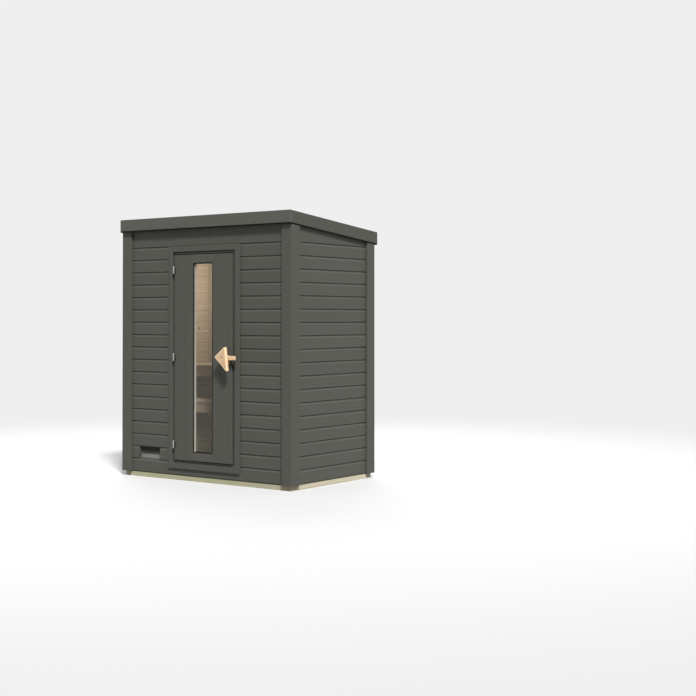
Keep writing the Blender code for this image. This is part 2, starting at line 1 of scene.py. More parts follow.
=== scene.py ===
# %% [markdown]
# # A garden sauna cabin, board by board
#
# The cabin stands on pale treated timbers. Its walls are thick tongued boards laid flat, stained grey-green
# outside and bare inside. A boarded door with one tall narrow pane hangs on three barrel hinges, and the
# roof falls to the back behind four fascia boards.
#
# Each of these comes from a formula: a section, which is the outline of a sawn board, is carried along the
# board's length as one array of points. The finishes are made from noise, so no picture is needed.

# %% Load the frame
import json
import math

import bpy
import numpy as np
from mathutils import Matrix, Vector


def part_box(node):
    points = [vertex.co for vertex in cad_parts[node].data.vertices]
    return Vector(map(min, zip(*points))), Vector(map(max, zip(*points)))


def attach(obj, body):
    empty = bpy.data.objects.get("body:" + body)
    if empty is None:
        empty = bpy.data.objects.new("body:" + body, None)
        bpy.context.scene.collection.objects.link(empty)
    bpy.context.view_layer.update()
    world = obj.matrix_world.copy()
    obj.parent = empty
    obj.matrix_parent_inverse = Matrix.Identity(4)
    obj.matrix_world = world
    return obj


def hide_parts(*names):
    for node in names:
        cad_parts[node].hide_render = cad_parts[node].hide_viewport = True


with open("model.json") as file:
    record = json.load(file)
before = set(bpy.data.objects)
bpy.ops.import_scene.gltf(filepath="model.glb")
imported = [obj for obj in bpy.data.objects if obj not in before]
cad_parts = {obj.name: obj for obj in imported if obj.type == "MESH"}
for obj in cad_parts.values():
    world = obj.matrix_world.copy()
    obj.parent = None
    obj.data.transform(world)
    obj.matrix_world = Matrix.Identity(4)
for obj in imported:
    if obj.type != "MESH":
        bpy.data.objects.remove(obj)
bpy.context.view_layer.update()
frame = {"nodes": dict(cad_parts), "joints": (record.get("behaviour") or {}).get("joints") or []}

# %% [markdown]
# ## Camera
#
# The camera stands about ten metres off the right front corner, a little under eye height, and looks almost
# level. A level camera keeps upright edges upright, so the framing comes from a small shift of the lens and
# not from a tilt.

# %% Camera
CAMERA_PLACE = (7.4288, -8.6906, 1.4026)
CAMERA_PITCH = 90.8291
CAMERA_TURN = 36.0266
LENS_MM = 66.09
LENS_SHIFT = -0.069


def add_object(name, data):
    """A new object with this data, in the scene."""
    obj = bpy.data.objects.new(name, data)
    bpy.context.scene.collection.objects.link(obj)
    return obj


camera_data = bpy.data.cameras.new("camera")
camera_data.sensor_width = 36.0
camera_data.lens = LENS_MM
camera_data.shift_y = LENS_SHIFT
camera_data.clip_end = 200.0
camera = add_object("camera", camera_data)
camera.location = CAMERA_PLACE
camera.rotation_euler = (math.radians(CAMERA_PITCH), 0.0, math.radians(CAMERA_TURN))
bpy.context.scene.camera = camera
print("lens", LENS_MM, "mm at", CAMERA_PLACE)

# %% [markdown]
# ## Node helpers
#
# A material is a small graph of nodes. Short helpers keep it readable: add makes a node, put links a socket
# or writes its value, and the others are the sums, ramps and blends that most of the finishes need.


# %% Node helpers
class Graph:
    """The node graph of one material, group or world, with short ways to add nodes and sums."""

    def __init__(self, tree):
        self.tree = tree
        self.shader = tree.nodes.get("Principled BSDF")

    def put(self, socket, value):
        """Links an output to a socket, or writes a value on it. Colours are given without their alpha."""
        if hasattr(value, "is_output"):
            self.tree.links.new(value, socket)
        else:
            socket.default_value = (*value, 1.0) if socket.type == "RGBA" else value

    def fill(self, node, values):
        """Puts values on sockets by their names, in which an underscore stands for a space."""
        for key, value in values.items():
            self.put(node.inputs[key.replace("_", " ")], value)
        return node

    def add(self, kind, settings=None, **values):
        node = self.tree.nodes.new("ShaderNode" + kind)
        for key, value in (settings or {}).items():
            setattr(node, key, value)
        return self.fill(node, values)

    def math(self, operation, *values):
        node = self.add("Math", {"operation": operation})
        for socket, value in zip(node.inputs, values):
            self.put(socket, value)
        return node.outputs[0]

    def weigh(self, total, *parts):
        """The total plus every part times its weight, from (part, weight) pairs."""
        for part, weight in parts:
            total = self.math("MULTIPLY_ADD", part, weight, total)
        return total

    def vector(self, operation, first, second):
        node = self.add("VectorMath", {"operation": operation}, Vector=first)
        self.put(node.inputs["Scale" if operation == "SCALE" else 1], second)
        return node.outputs["Value" if operation == "DISTANCE" else 0]

    def ramp(self, value, low, high, to_low=0.0, to_high=1.0):
        """Goes smoothly from to_low to to_high while the value goes from low to high."""
        smoothly = {"interpolation_type": "SMOOTHSTEP"}
        node = self.add("MapRange", smoothly, Value=value, From_Min=low, From_Max=high)
        return self.fill(node, {"To_Min": to_low, "To_Max": to_high}).outputs["Result"]

    def blend(self, factor, first, second):
        node = self.add("Mix", {"data_type": "RGBA"})
        for number, value in ((0, factor), (6, first), (7, second)):
            self.put(node.inputs[number], value)
        return node.outputs[2]

    def attribute(self, name, output="Vector"):
        return self.add("Attribute", {"attribute_name": name}).outputs[output]

    def place(self):
        """Where a point lies in its object."""
        return self.add("TexCoord").outputs["Object"]

    def noise(self, vector, scale=1.0, detail=2.0):
        return self.add("TexNoise", Vector=vector, Scale=scale, Detail=detail).outputs["Fac"]

    def finish(self, colour, height, strength, distance, **values):
        """Gives the shader its colour, and a bump whose height is a share of the distance."""
        bump = self.add("Bump", Height=height, Strength=strength, Distance=distance)
        self.fill(self.shader, {"Base Color": colour, "Normal": bump.outputs["Normal"], **values})

    def mix_surface(self, factor, other):
        """Mixes the shader with another one."""
        mixed = self.add("MixShader")
        for socket, value in zip(mixed.inputs, (factor, self.shader.outputs[0], other.outputs[0])):
            self.put(socket, value)
        self.put(self.tree.nodes["Material Output"].inputs["Surface"], mixed.outputs[0])

    def looked_at(self):
        """1 for a ray of the camera, also through glass or off a shiny face, and 0 for any other."""
        ray = self.add("LightPath").outputs
        seen = self.math("MAXIMUM", ray["Is Camera Ray"], ray["Is Transmission Ray"])
        return self.math("MAXIMUM", seen, ray["Is Glossy Ray"])


def start_material(name, **values):
    """A material and its graph. The even values of its Principled shader sit on the shader itself."""
    material = bpy.data.materials.new(name)
    material.use_nodes = True
    graph = Graph(material.node_tree)
    graph.fill(graph.shader, values)
    return material, graph


print("node helpers ready")

# %% [markdown]
# ## Light
#
# One broad lamp stands far off to the right, in front and above, as a softbox would. Its width gives the
# soft edge of the shadow under the fascia. A weak and very wide lamp behind the cabin lifts the two sides
# that the first one leaves dark, and the pale world fills the rest. An upright face then looks about as
# bright as its colour is written.

# %% Lamps and world
KEY_FROM = np.array([0.50, -0.41, 0.76])
KEY_STRENGTH = 4.7
KEY_WIDTH = 10.0
BACK_FROM = np.array([-0.62, 0.58, 0.53])
BACK_STRENGTH = 1.3
BACK_WIDTH = 50.0
FILL_LEVEL = 0.40
BACKGROUND_LEVEL = 0.86


def far_lamp(name, from_way, strength, width):
    """A distant lamp, turned so that its own down axis points away from where its light comes from."""
    data = bpy.data.lights.new(name, "SUN")
    data.energy = strength
    data.angle = math.radians(width)
    turn = math.atan2(from_way[1], from_way[0])
    drop = math.acos(from_way[2] / np.linalg.norm(from_way))
    add_object(name, data).rotation_euler = (0.0, drop, turn)


far_lamp("key", KEY_FROM, KEY_STRENGTH, KEY_WIDTH)
far_lamp("back_light", BACK_FROM, BACK_STRENGTH, BACK_WIDTH)

world = bpy.data.worlds.new("studio")
bpy.context.scene.world = world
world.use_nodes = True
graph = Graph(world.node_tree)
level = graph.ramp(graph.looked_at(), 0.0, 1.0, FILL_LEVEL, BACKGROUND_LEVEL)
graph.fill(world.node_tree.nodes["Background"], {"Color": (1.0, 1.0, 1.0), "Strength": level})
print("key from", KEY_FROM, "fill", FILL_LEVEL)

# %% [markdown]
# ## The figure of softwood
#
# Growth rings are cylinders round the pith, so on a board's face they are long lines, and on its end they
# are arcs. The graph works in each board's own coordinates: x runs along the board, y across it and z into
# it. Rings are a wave of the distance from the pith line, bent a little by noise and pushed aside by knots.
# Fibres are noise drawn out along x. One group serves all the timber here.

# %% Softwood figure
RING_SCALE = 85.0
RING_DRIFT = 0.04
KNOT_CELLS = 3.0
KNOT_SHARE = 0.55
KNOT_EDGE = (0.045, 0.022)
KNOT_REACH = 0.22
KNOT_PUSH = 0.02
FIBRE_DRAWN = (6.0, 700.0, 700.0)
CLOUD_DRAWN = (1.3, 9.0, 9.0)

figure_group = bpy.data.node_groups.new("softwood_figure", "ShaderNodeTree")
figure_group.interface.new_socket("Board", in_out="INPUT", socket_type="NodeSocketVector")
graph = Graph(figure_group)
board = figure_group.nodes.new("NodeGroupInput").outputs["Board"]
flat = {"voronoi_dimensions": "2D"}
cells = graph.add("TexVoronoi", flat, Vector=board, Scale=KNOT_CELLS, Randomness=0.9).outputs
there = graph.math("LESS_THAN", graph.add("SeparateColor", Color=cells["Color"]).outputs[0], KNOT_SHARE)
push = graph.math("MULTIPLY", graph.ramp(cells["Distance"], KNOT_REACH, 0.0, 0.0, KNOT_PUSH), there)
x, y, z = graph.add("SeparateXYZ", Vector=board).outputs
bent = graph.add("CombineXYZ", X=graph.math("MULTIPLY", x, RING_DRIFT), Y=graph.math("ADD", y, push), Z=z)
wave = graph.add(
    "TexWave", {"wave_type": "RINGS", "rings_direction": "X"}, Vector=bent.outputs[0], Scale=RING_SCALE,
    Distortion=6.0, Detail=2.0, Detail_Scale=0.25,
)
figure = {
    "Rings": wave.outputs["Fac"],
    "Fibre": graph.noise(graph.vector("MULTIPLY", board, FIBRE_DRAWN)),
    "Knot": graph.math("MULTIPLY", graph.ramp(cells["Distance"], *KNOT_EDGE), there),
    "Cloud": graph.noise(graph.vector("MULTIPLY", board, CLOUD_DRAWN), detail=3.0),
}
for name in figure:
    figure_group.interface.new_socket(name, in_out="OUTPUT", socket_type="NodeSocketFloat")
graph.fill(figure_group.nodes.new("NodeGroupOutput"), figure)
print("figure outputs:", list(figure))

# %% [markdown]
# ## Where a board's coordinates come from
#
# A piece made below carries its own coordinates in an attribute named grain, with a different start for each
# board, and one tone for each board in an attribute named tone. A solid kept from the frame has neither, so
# there the object's coordinates are turned until x runs along the timber. A timber that lies flat has its
# wide face up.

# %% Board coordinates
GRAIN_AXES = {"X": (0, 2, 1), "Y": (1, 2, 0), "Z": (2, 0, 1), "X flat": (0, 1, 2), "Y flat": (1, 0, 2)}


def board_figure(graph, lie=None):
    """Rings, fibre, knot and cloud from the grain attribute, or from the object's own coordinates."""
    if lie is None:
        source = graph.attribute("grain")
    else:
        parts = graph.add("SeparateXYZ", Vector=graph.place()).outputs
        x, y, z = (parts[axis] for axis in GRAIN_AXES[lie])
        source = graph.add("CombineXYZ", X=x, Y=y, Z=z).outputs[0]
    return graph.add("Group", {"node_tree": figure_group}, Board=source).outputs


print("a timber lies", list(GRAIN_AXES))

# %% [markdown]
# ## Stained and bare timber
#
# The stain is opaque, so the wood shows only as a faint relief and a few per cent of light and dark. Bare
# spruce shows all of its figure: pale early wood, darker late wood, and brown knots. Both read the same
# figure, so a board looks like one piece of wood on all its faces.


# %% Stained timber
def stained_timber(name, colour, lie=None):
    """Opaque satin stain: the colour, a few per cent up or down with the figure, and the board's tone."""
    material, graph = start_material(name, Specular_IOR_Level=0.22)
    rings, fibre, knot, cloud = board_figure(graph, lie)
    tone = graph.attribute("tone", "Fac")
    share = graph.weigh(0.865, (cloud, 0.16), (rings, 0.05), (fibre, 0.06), (knot, -0.12), (tone, 1.0))
    height = graph.weigh(fibre, (rings, 0.5), (knot, 1.2))
    gloss = graph.ramp(cloud, 0.3, 0.7, 0.50, 0.62)
    graph.finish(graph.vector("SCALE", colour, share), height, 0.35, 0.0005, Roughness=gloss)
    return material


# %% Bare timber
def bare_timber(name, tones, roughness=0.55, lie=None, knots_at=()):
    """Bare softwood: pale to dark by the rings and fibres, and brown where a knot is.

    knots_at adds knots at chosen places, as (place, radius). Their brown fades out with the distance.
    """
    pale, dark, brown = tones
    material, graph = start_material(name, Roughness=roughness, Specular_IOR_Level=0.3)
    rings, fibre, knot, cloud = board_figure(graph, lie)
    late = graph.weigh(graph.ramp(rings, 0.35, 1.0, 0.0, 0.75), (graph.ramp(fibre, 0.35, 0.75), 0.22))
    share = graph.weigh(0.85, (cloud, 0.30), (graph.attribute("tone", "Fac"), 1.0))
    wood = graph.vector("SCALE", graph.blend(late, pale, dark), share)
    wood = graph.blend(graph.math("MULTIPLY", knot, 0.85), wood, brown)
    for place, radius in knots_at:
        away = graph.vector("DISTANCE", graph.place(), place)
        wood = graph.blend(graph.ramp(away, radius, radius * 0.3, 0.0, 0.75), wood, brown)
    graph.finish(wood, graph.weigh(fibre, (rings, 0.6)), 0.3, 0.0004)
    return material


# %% Timber finishes
BOARD_STAIN = (0.074, 0.074, 0.064)
TRIM_STAIN = (0.073, 0.073, 0.063)
HEAD_LINING_PAINTED_LIGHT = (0.150, 0.150, 0.132)
SILL_STAIN = (0.150, 0.152, 0.138)
SPRUCE = ((0.64, 0.53, 0.41), (0.46, 0.34, 0.235), (0.20, 0.11, 0.06))
PINE = ((0.78, 0.57, 0.365), (0.60, 0.38, 0.21), (0.34, 0.16, 0.07))
BIRCH = ((0.90, 0.87, 0.80), (0.84, 0.79, 0.70), (0.60, 0.52, 0.40))
OILED = 0.42
HANDLE_KNOTS = (
    ((0.285, -0.667, 1.078), 0.015), ((0.284, -0.667, 1.018), 0.008), ((0.318, -0.667, 1.002), 0.010),
)

board_stain = stained_timber("board_stain", BOARD_STAIN)
sill_stain = stained_timber("sill_stain", SILL_STAIN, "X")
# painted light: a lighter copy of the trim stain for the head lining, for the sky light in its shaded recess
lining_stain = stained_timber("lining_stain", HEAD_LINING_PAINTED_LIGHT, "X")
trim_stain = stained_timber("trim_stain", TRIM_STAIN)
trim_stain_upright = stained_timber("trim_stain_upright", TRIM_STAIN, "Z")
trim_stain_level = stained_timber("trim_stain_level", TRIM_STAIN, "X")
spruce = bare_timber("spruce", SPRUCE)
spruce_level = bare_timber("spruce_level", SPRUCE, lie="X")
pine = bare_timber("oiled_pine", PINE, OILED)
pine_upright = bare_timber("oiled_pine_upright", PINE, OILED, "Z")
pine_handle = bare_timber("oiled_pine_handle", PINE, OILED, knots_at=HANDLE_KNOTS)
pale_birch = bare_timber("pale_birch", BIRCH, 0.5)
print("timber finishes:", [m.name for m in (board_stain, trim_stain, spruce, pine, pale_birch)])

# %% [markdown]
# The base timbers are sawn and soaked in a green salt. The heartwood takes up less of it, so the colour goes
# from green to fawn, and the blade has left fine lines. Their top few millimetres are painted near-black, as
# painted shade for the shadow under the walls' lower edge.

# %% Treated timber
PAINTED_TOP_SHADE_FROM = 0.0365
PAINTED_TOP_SHADE_OVER = 0.005
GREEN_PALE, GREEN_DARK = (0.47, 0.48, 0.31), (0.25, 0.26, 0.14)
FAWN_PALE, FAWN_DARK = (0.54, 0.47, 0.36), (0.32, 0.26, 0.18)

treated, graph = start_material("treated_timber", Roughness=0.75, Specular_IOR_Level=0.2)
rings, fibre, knot, _ = board_figure(graph)
grain = graph.attribute("grain")
uptake = graph.noise(graph.vector("MULTIPLY", grain, (1.6, 5.0, 5.0)))
x, _, z = graph.add("SeparateXYZ", Vector=graph.place()).outputs
green = graph.math("MULTIPLY", graph.ramp(uptake, 0.25, 0.55), graph.ramp(x, 0.45, 0.95, 1.0, 0.15))
pale, dark = graph.blend(green, FAWN_PALE, GREEN_PALE), graph.blend(green, FAWN_DARK, GREEN_DARK)
wood = graph.blend(graph.ramp(rings, 0.25, 1.0, 0.0, 0.8), pale, dark)
wood = graph.blend(graph.math("MULTIPLY", knot, 0.9), wood, (0.12, 0.09, 0.04))
wood = graph.vector("SCALE", wood, graph.math("ADD", graph.attribute("tone", "Fac"), 1.0))
# painted shade: the top few millimetres go near-black, for the shadow under the walls' lower edge
run = graph.ramp(z, PAINTED_TOP_SHADE_FROM, PAINTED_TOP_SHADE_FROM + PAINTED_TOP_SHADE_OVER, 0.0, 0.85)
blade = graph.add("TexWave", Vector=grain, Scale=95.0, Distortion=1.5, Detail=1.0).outputs["Fac"]
graph.finish(graph.blend(run, wood, (0.05, 0.05, 0.04)), graph.weigh(fibre, (blade, 0.8)), 0.5, 0.0006)
print("base timbers:", treated.name)

# %% [markdown]
# ## Glass, rubber, steel and roofing
#
# The pane is clear glass, tinted a little warm. Light has to get into the room through it, so for shadow and
# diffuse rays the glass is swapped for a grey hole, and only the camera and mirror rays see its surface. The
# seal is dull black rubber, the hinges are zinc-plated steel, and the roof is covered with a sheet strewn
# with dark mineral grains.

# %% Glass
DAYLIGHT_THROUGH = 0.66
GLASS_TINT = (0.96, 0.955, 0.89)
# painted reflection: the pane's reflections are tinted warm, for the colour of surroundings it would mirror
GLASS_REFLECTION_PAINTED_TINT = (1.0, 0.97, 0.80)
GLASS_IOR = 1.43
glass, graph = start_material(
    "clear_glass", Roughness=0.0, Transmission_Weight=1.0, IOR=GLASS_IOR, Base_Color=GLASS_TINT,
    Specular_Tint=GLASS_REFLECTION_PAINTED_TINT,
)
ray = graph.add("LightPath").outputs
through = graph.math("MAXIMUM", ray["Is Shadow Ray"], ray["Is Diffuse Ray"])
graph.mix_surface(through, graph.add("BsdfTransparent", Color=[DAYLIGHT_THROUGH] * 3))
print("daylight through the pane:", DAYLIGHT_THROUGH)

# %% Rubber: dull, with fine specks of dust
rubber, graph = start_material("black_rubber", Roughness=0.75, Specular_IOR_Level=0.12)
speck = graph.noise(graph.place(), 600.0)
graph.finish(graph.blend(speck, (0.003, 0.003, 0.003), (0.010, 0.009, 0.008)), speck, 0.2, 0.0002)
print("seals:", rubber.name)

# %% Steel: bright, with the cloudy patches of the zinc and fine drawn lines
steel, graph = start_material("zinc_steel", Metallic=0.9)
cloud = graph.noise(graph.place(), 140.0, 3.0)
lines = graph.noise(graph.vector("MULTIPLY", graph.place(), (300.0, 300.0, 2600.0)))
tint = graph.blend(cloud, (0.34, 0.34, 0.335), (0.56, 0.56, 0.55))
gloss = graph.ramp(cloud, 0.3, 0.7, 0.26, 0.42)
graph.finish(tint, lines, 0.12, 0.0002, Roughness=gloss)
print("hinges:", steel.name)


# %% Roofing
def roofing_sheet(name, deepest, palest):
    """Bitumen sheet with mineral grains: cells of a few tones of dark grey, each a little raised."""
    material, graph = start_material(name, Roughness=0.88, Specular_IOR_Level=0.15)
    grains = graph.add("TexVoronoi", Vector=graph.place(), Scale=420.0).outputs
    tint = graph.blend(graph.add("SeparateColor", Color=grains["Color"]).outputs[0], deepest, palest)
    share = graph.weigh(0.75, (graph.noise(graph.place(), 3.0, 3.0), 0.5))
    height = graph.ramp(grains["Distance"], 0.0, 0.6, 1.0, 0.0)
    graph.finish(graph.vector("SCALE", tint, share), height, 0.5, 0.0008)
    return material


roofing = roofing_sheet("roofing_sheet", (0.020, 0.021, 0.023), (0.085, 0.087, 0.090))
# painted shade: near-black, for the strip under the fascias
bare_bitumen = roofing_sheet("bare_bitumen", (0.001, 0.001, 0.001), (0.004, 0.004, 0.004))
mesh_wire = roofing_sheet("mesh_wire", (0.050, 0.052, 0.046), (0.100, 0.104, 0.092))
print("roofing:", [m.name for m in (roofing, bare_bitumen, mesh_wire)])

# %% [markdown]
# ## From rings of points to solids
#
# Every timber is a stack of rings: the outline of its section, repeated at stations along its length. The
# rings of like boards are one array with the axes (board, station, corner of the outline, xyz), so a few
# array operations make a wall. Neighbouring rings are joined by quads, and the two end rings are closed by
# one face each.

# %% Rings to mesh
GRAIN_START = ((0.0, 40.0), (-0.04, 0.04), (0.03, 0.09))
dice = np.random.default_rng(18)


def ring_faces(shape, first):
    """Quads between the stations and a face on each end, as index arrays, for one array of rings."""
    index = first + np.arange(math.prod(shape)).reshape(shape)
    here, there = index[:, :-1], index[:, 1:]
    quads = np.stack([here, np.roll(here, -1, 2), np.roll(there, -1, 2), there], axis=-1)
    return quads.reshape(-1, 4), np.concatenate([index[:, 0, ::-1], index[:, -1]])


def grain_of(rings, lie):
    """Board coordinates of each point: along, across and into, from a start drawn for each board."""
    local = rings[..., GRAIN_AXES[lie]]
    local = local - local.mean(axis=(1, 2), keepdims=True)
    for axis, (low, high) in enumerate(GRAIN_START):
        local[..., axis] += dice.uniform(low, high, len(rings))[:, None, None]
    return local


def make_piece(name, stacks, finish, body, stands_for=(), tone=0.03, shade=0.0, room_sides=None):
    """One piece from stacks of rings, each as (rings, lie). The boards' tones spread by tone about shade.

    Faces would point inward where the area of a ring, as a vector, runs against the length: such rings are
    turned round. room_sides says for each corner of each stack whether the face after it is bare spruce.
    """
    points, grains, tones, faces, marks = [], [], [], [], []
    first = 0
    for number, (rings, lie) in enumerate(stacks):
        area = np.cross(rings[0], np.roll(rings[0], -1, 1)).sum((0, 1))
        backwards = area @ (rings[0, -1].mean(0) - rings[0, 0].mean(0)) < 0
        if backwards:
            rings = rings[:, :, ::-1]
        count, stations, corners = shape = rings.shape[:3]
        quads, ends = ring_faces(shape, first)
        points.append(rings.reshape(-1, 3))
        grains.append(grain_of(rings, lie).reshape(-1, 3))
        tones.append(np.repeat(dice.normal(shade, tone, count), stations * corners))
        faces += quads.tolist() + ends.tolist()
        mark = np.zeros(len(quads) + len(ends), np.int32)
        if room_sides is not None:
            sides = np.roll(room_sides[number][::-1], -1) if backwards else room_sides[number]
            mark[: len(quads)] = np.tile(sides, count * (stations - 1))
        marks.append(mark)
        first += math.prod(shape)
    mesh = bpy.data.meshes.new(name)
    mesh.from_pydata(np.concatenate(points).tolist(), [], faces)
    mesh.polygons.foreach_set("material_index", np.concatenate(marks))
    layers = (("grain", "FLOAT_VECTOR", "vector", grains), ("tone", "FLOAT", "value", tones))
    for key, kind, field, values in layers:
        attribute = mesh.attributes.new(key, kind, "POINT")
        attribute.data.foreach_set(field, np.concatenate(values).astype(np.float32).ravel())
    mesh.materials.append(finish)
    if room_sides is not None:
        mesh.materials.append(spruce)
    obj = add_object(name, mesh)
    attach(obj, body)
    if stands_for:
        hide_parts(*stands_for)
    print(f"{name}: {sum(len(rings) for rings, _ in stacks)} solids, {len(mesh.polygons)} faces")
    return obj


def dress(node, finish):
    """Gives a solid of the frame its finish."""
    mesh = frame["nodes"][node].data
    mesh.materials.clear()
    mesh.materials.append(finish)


# %% [markdown]
# ## Sections
#
# Two outlines serve for nearly all timbers. A planed board is a rectangle with rounded corners, and its ends
# are eased too, so the first and last ring are the outline drawn in a little. The general form rounds any
# corner of a polygon: the arc's centre lies on the corner's bisector, at the radius over the sine of half
# the corner's angle.

# %% Sections
END_EASE = 0.0008


def unit(vectors):
    return vectors / np.linalg.norm(vectors, axis=-1, keepdims=True)


def rounded_outline(corners, radius, steps=3):
    """A polygon with each corner replaced by an arc of that radius, as an array (corners * (steps + 1), 2).

    The arc turns from the one touching point to the other about the centre on the bisector.
    """
    corners = np.asarray(corners, float)
    before = unit(np.roll(corners, 1, 0) - corners)
    after = unit(np.roll(corners, -1, 0) - corners)
    half = np.arccos(np.clip((before * after).sum(1, keepdims=True), -1, 1)) / 2
    centre = corners + unit(before + after) * radius / np.sin(half)
    start = corners + before * radius / np.tan(half) - centre
    end = corners + after * radius / np.tan(half) - centre
    whole = (np.pi - 2 * half)[:, None]
    angle = whole * np.linspace(0.0, 1.0, steps + 1)[:, None]
    arc = (np.sin(whole - angle) * start[:, None] + np.sin(angle) * end[:, None]) / np.sin(whole)
    return (centre[:, None] + arc).reshape(-1, 2)


def drawn_in(outline, amount):
    """The outline moved inward: each corner goes along the sum of its two edge normals, as a mitre does."""
    edge = unit(np.roll(outline, -1, 0) - outline)
    normal = np.stack([-edge[:, 1], edge[:, 0]], axis=1)
    last_normal = np.roll(normal, 1, 0)
    mitre = normal + last_normal
    return outline + amount * mitre / (mitre * last_normal).sum(1, keepdims=True)


def timber(low, high, lie, radius=0.002, ease=END_EASE, steps=3):
    """Rings of a planed timber between two corners, with rounded edges and eased ends."""
    low, high = np.asarray(low, float), np.asarray(high, float)
    axis = "XYZ".index(lie[0])
    others = [(axis + 1) % 3, (axis + 2) % 3]
    (u0, v0), (u1, v1) = low[others], high[others]
    full = rounded_outline([(u0, v0), (u1, v0), (u1, v1), (u0, v1)], radius, steps)
    short = drawn_in(full, min(ease, radius * 0.6))
    rings = np.empty((4, len(full), 3))
    rings[..., others] = np.stack([short, full, full, short])
    rings[..., axis] = np.array([low[axis], low[axis] + ease, high[axis] - ease, high[axis]])[:, None]
    return rings[None]


def timbers(name, boxes, finish, body, stands_for=(), radius=0.002, tone=0.03):
    """Several planed timbers as one piece, from (low, high, lie) boxes."""
    stacks = [(timber(low, high, lie, radius), lie) for low, high, lie in boxes]
    return make_piece(name, stacks, finish, body, stands_for, tone)


print("a planed timber has", timber((0, 0, 0), (1, 0.02, 0.02), "X").shape[2], "corners in section")

# %% [markdown]
# ## Wall boards
#
# Each wall is a stack of 38 mm boards that cover 110 mm each. A board has a tongue on its top edge and a
# groove under it, and both faces are chamfered at the edges, so that two boards meet in a V. Outside, the
# upper chamfer of a board is the taller one, which sheds the rain and catches the light. In the room the
# joint is small and even.

# %% One board's section
COVER = 0.110
THICK = 0.038
FIRST_JOINT = 0.0475
JOINT_ROWS = 18
V_DEEP = 0.008
V_ABOVE = 0.0075
V_BELOW = 0.017
ROOM_V = 0.004
CONTACT = 0.0003
TONGUE_NEAR = 0.0145
TONGUE_FAR = 0.0235
TONGUE_TALL = 0.0086
GROOVE_TALL = 0.0092
GROOVE_SLACK = 0.0004
TAPER = 0.0008


def board_section(height, groove=True):
    """Outline of a board as (depth, height): up the face, over the tongue, down the back, and the groove."""
    top = height - CONTACT
    outline = [
        (0.0, V_ABOVE), (0.0, height - V_BELOW), (V_DEEP, top), (TONGUE_NEAR, top),
        (TONGUE_NEAR + TAPER, top + TONGUE_TALL), (TONGUE_FAR - TAPER, top + TONGUE_TALL),
        (TONGUE_FAR, top), (THICK - ROOM_V, top), (THICK, height - ROOM_V), (THICK, ROOM_V),
        (THICK - ROOM_V, 0.0),
    ]
    if groove:
        outline += [
            (TONGUE_FAR + GROOVE_SLACK, 0.0), (TONGUE_FAR - TAPER + GROOVE_SLACK, GROOVE_TALL),
            (TONGUE_NEAR + TAPER - GROOVE_SLACK, GROOVE_TALL), (TONGUE_NEAR - GROOVE_SLACK, 0.0),
        ]
    return np.array(outline + [(V_DEEP, 0.0)])


full_board = board_section(COVER)
NO_TONGUE = [0, 1, *range(8, len(full_board))]
top_board = full_board[NO_TONGUE]
# of the top board, the cut top, the room face and the foot below that face are bare
TOP_ROOM_SIDES = np.array([0, 1, 1, 1, 1, 1, 0, 0, 0, 0])
print("a board has", len(full_board), "corners in section")

# %% [markdown]
# The roof plane cuts off the top board of each wall. Its height over a place y is a straight line, read here
# from the frame: it falls as the front edge of the front fascia and the same edge of the back one do.

# %% Roof plane
fascia_front_low, fascia_front_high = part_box("fascia_front")
fascia_back_low, fascia_back_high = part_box("fascia_back")
ROOF_SLOPE = (fascia_front_high.z - fascia_back_high.z) / (fascia_back_low.y - fascia_front_low.y)
FASCIA_HEIGHT = 0.102
WALL_RAISE = 0.0577


def fascia_foot(y):
    """Height of the fascia's lower edge over a place y."""
    return fascia_front_high.z - FASCIA_HEIGHT - ROOF_SLOPE * (y - fascia_front_low.y)


def wall_top(y):
    """Height of a wall's upper edge over a place y."""
    return fascia_foot(y) + WALL_RAISE


print("roof slope", round(ROOF_SLOPE, 4))

# %% Rows of boards
BOARD_STEP = 0.0002


def wall_piece(name, rows, wall, node):
    """Joins rows of boards into one wall piece. A row's rings are the section at both ends of the boards.

    A row is (section, heights of the feet, (start, end)), and wall is (lie, face, inward): a board lying along
    X has its depth along Y from the face, and the reverse. Each board stands in or out by up to BOARD_STEP.
    """
    lie, face, inward = wall
    run, deep = (0, 1) if lie == "X" else (1, 0)
    stacks, room_sides = [], []
    for section, feet, ends in rows:
        depth, height = section.T
        shift = dice.uniform(-BOARD_STEP, BOARD_STEP, len(feet))[:, None, None]
        rings = np.empty((len(feet), 2, len(section), 3))
        rings[..., run] = np.array(ends)[:, None]
        rings[..., deep] = face + inward * (depth + shift)
        rings[..., 2] = np.asarray(feet)[:, None, None] + height
        sides = ((depth + np.roll(depth, -1)) / 2 > THICK * 0.8).astype(np.int32)
        if section is top_board:
            rings[..., 1:3, 2] = wall_top(rings[..., 1:3, 1])
            sides = TOP_ROOM_SIDES
        stacks.append((rings, lie))
        room_sides.append(sides)
    return make_piece(
        name, stacks, board_stain, "cabin", [node], tone=0.02, room_sides=room_sides
    )


def span(node, axis=0):
    """Where a solid of the frame starts and ends along an axis."""
    low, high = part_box(node)
    return low[axis], high[axis]


print("a board stands in or out by up to", BOARD_STEP, "m")

# %% [markdown]
# ### The four walls
#
# The lowest board starts below the first joint and has no groove under it. In the front wall, the second
# board from the ground is interrupted left of the door: that is the air intake, which every sauna needs
# under its benches.

# %% Walls
FRONT = span("front_wall_left", 1)[0]
BACK = span("back_wall", 1)[1]
FOOT = span("left_wall", 2)[0]
wall_left_face, wall_right_face = span("left_wall")[0], span("right_wall")[1]
intake_low, intake_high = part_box("air_intake_sill")
board_feet = FIRST_JOINT + COVER * np.arange(1, JOINT_ROWS)
INTAKE_FOOT = board_feet[0]
TOP_JOINT = FIRST_JOINT + JOINT_ROWS * COVER
foot_board = board_section(INTAKE_FOOT - FOOT, groove=False)
in_front = ("X", FRONT, 1)


def plain_rows(ends):
    """Rows of a wall with no opening: its foot board, its full boards and its top board."""
    return [(foot_board, [FOOT], ends), (full_board, board_feet, ends), (top_board, [TOP_JOINT], ends)]


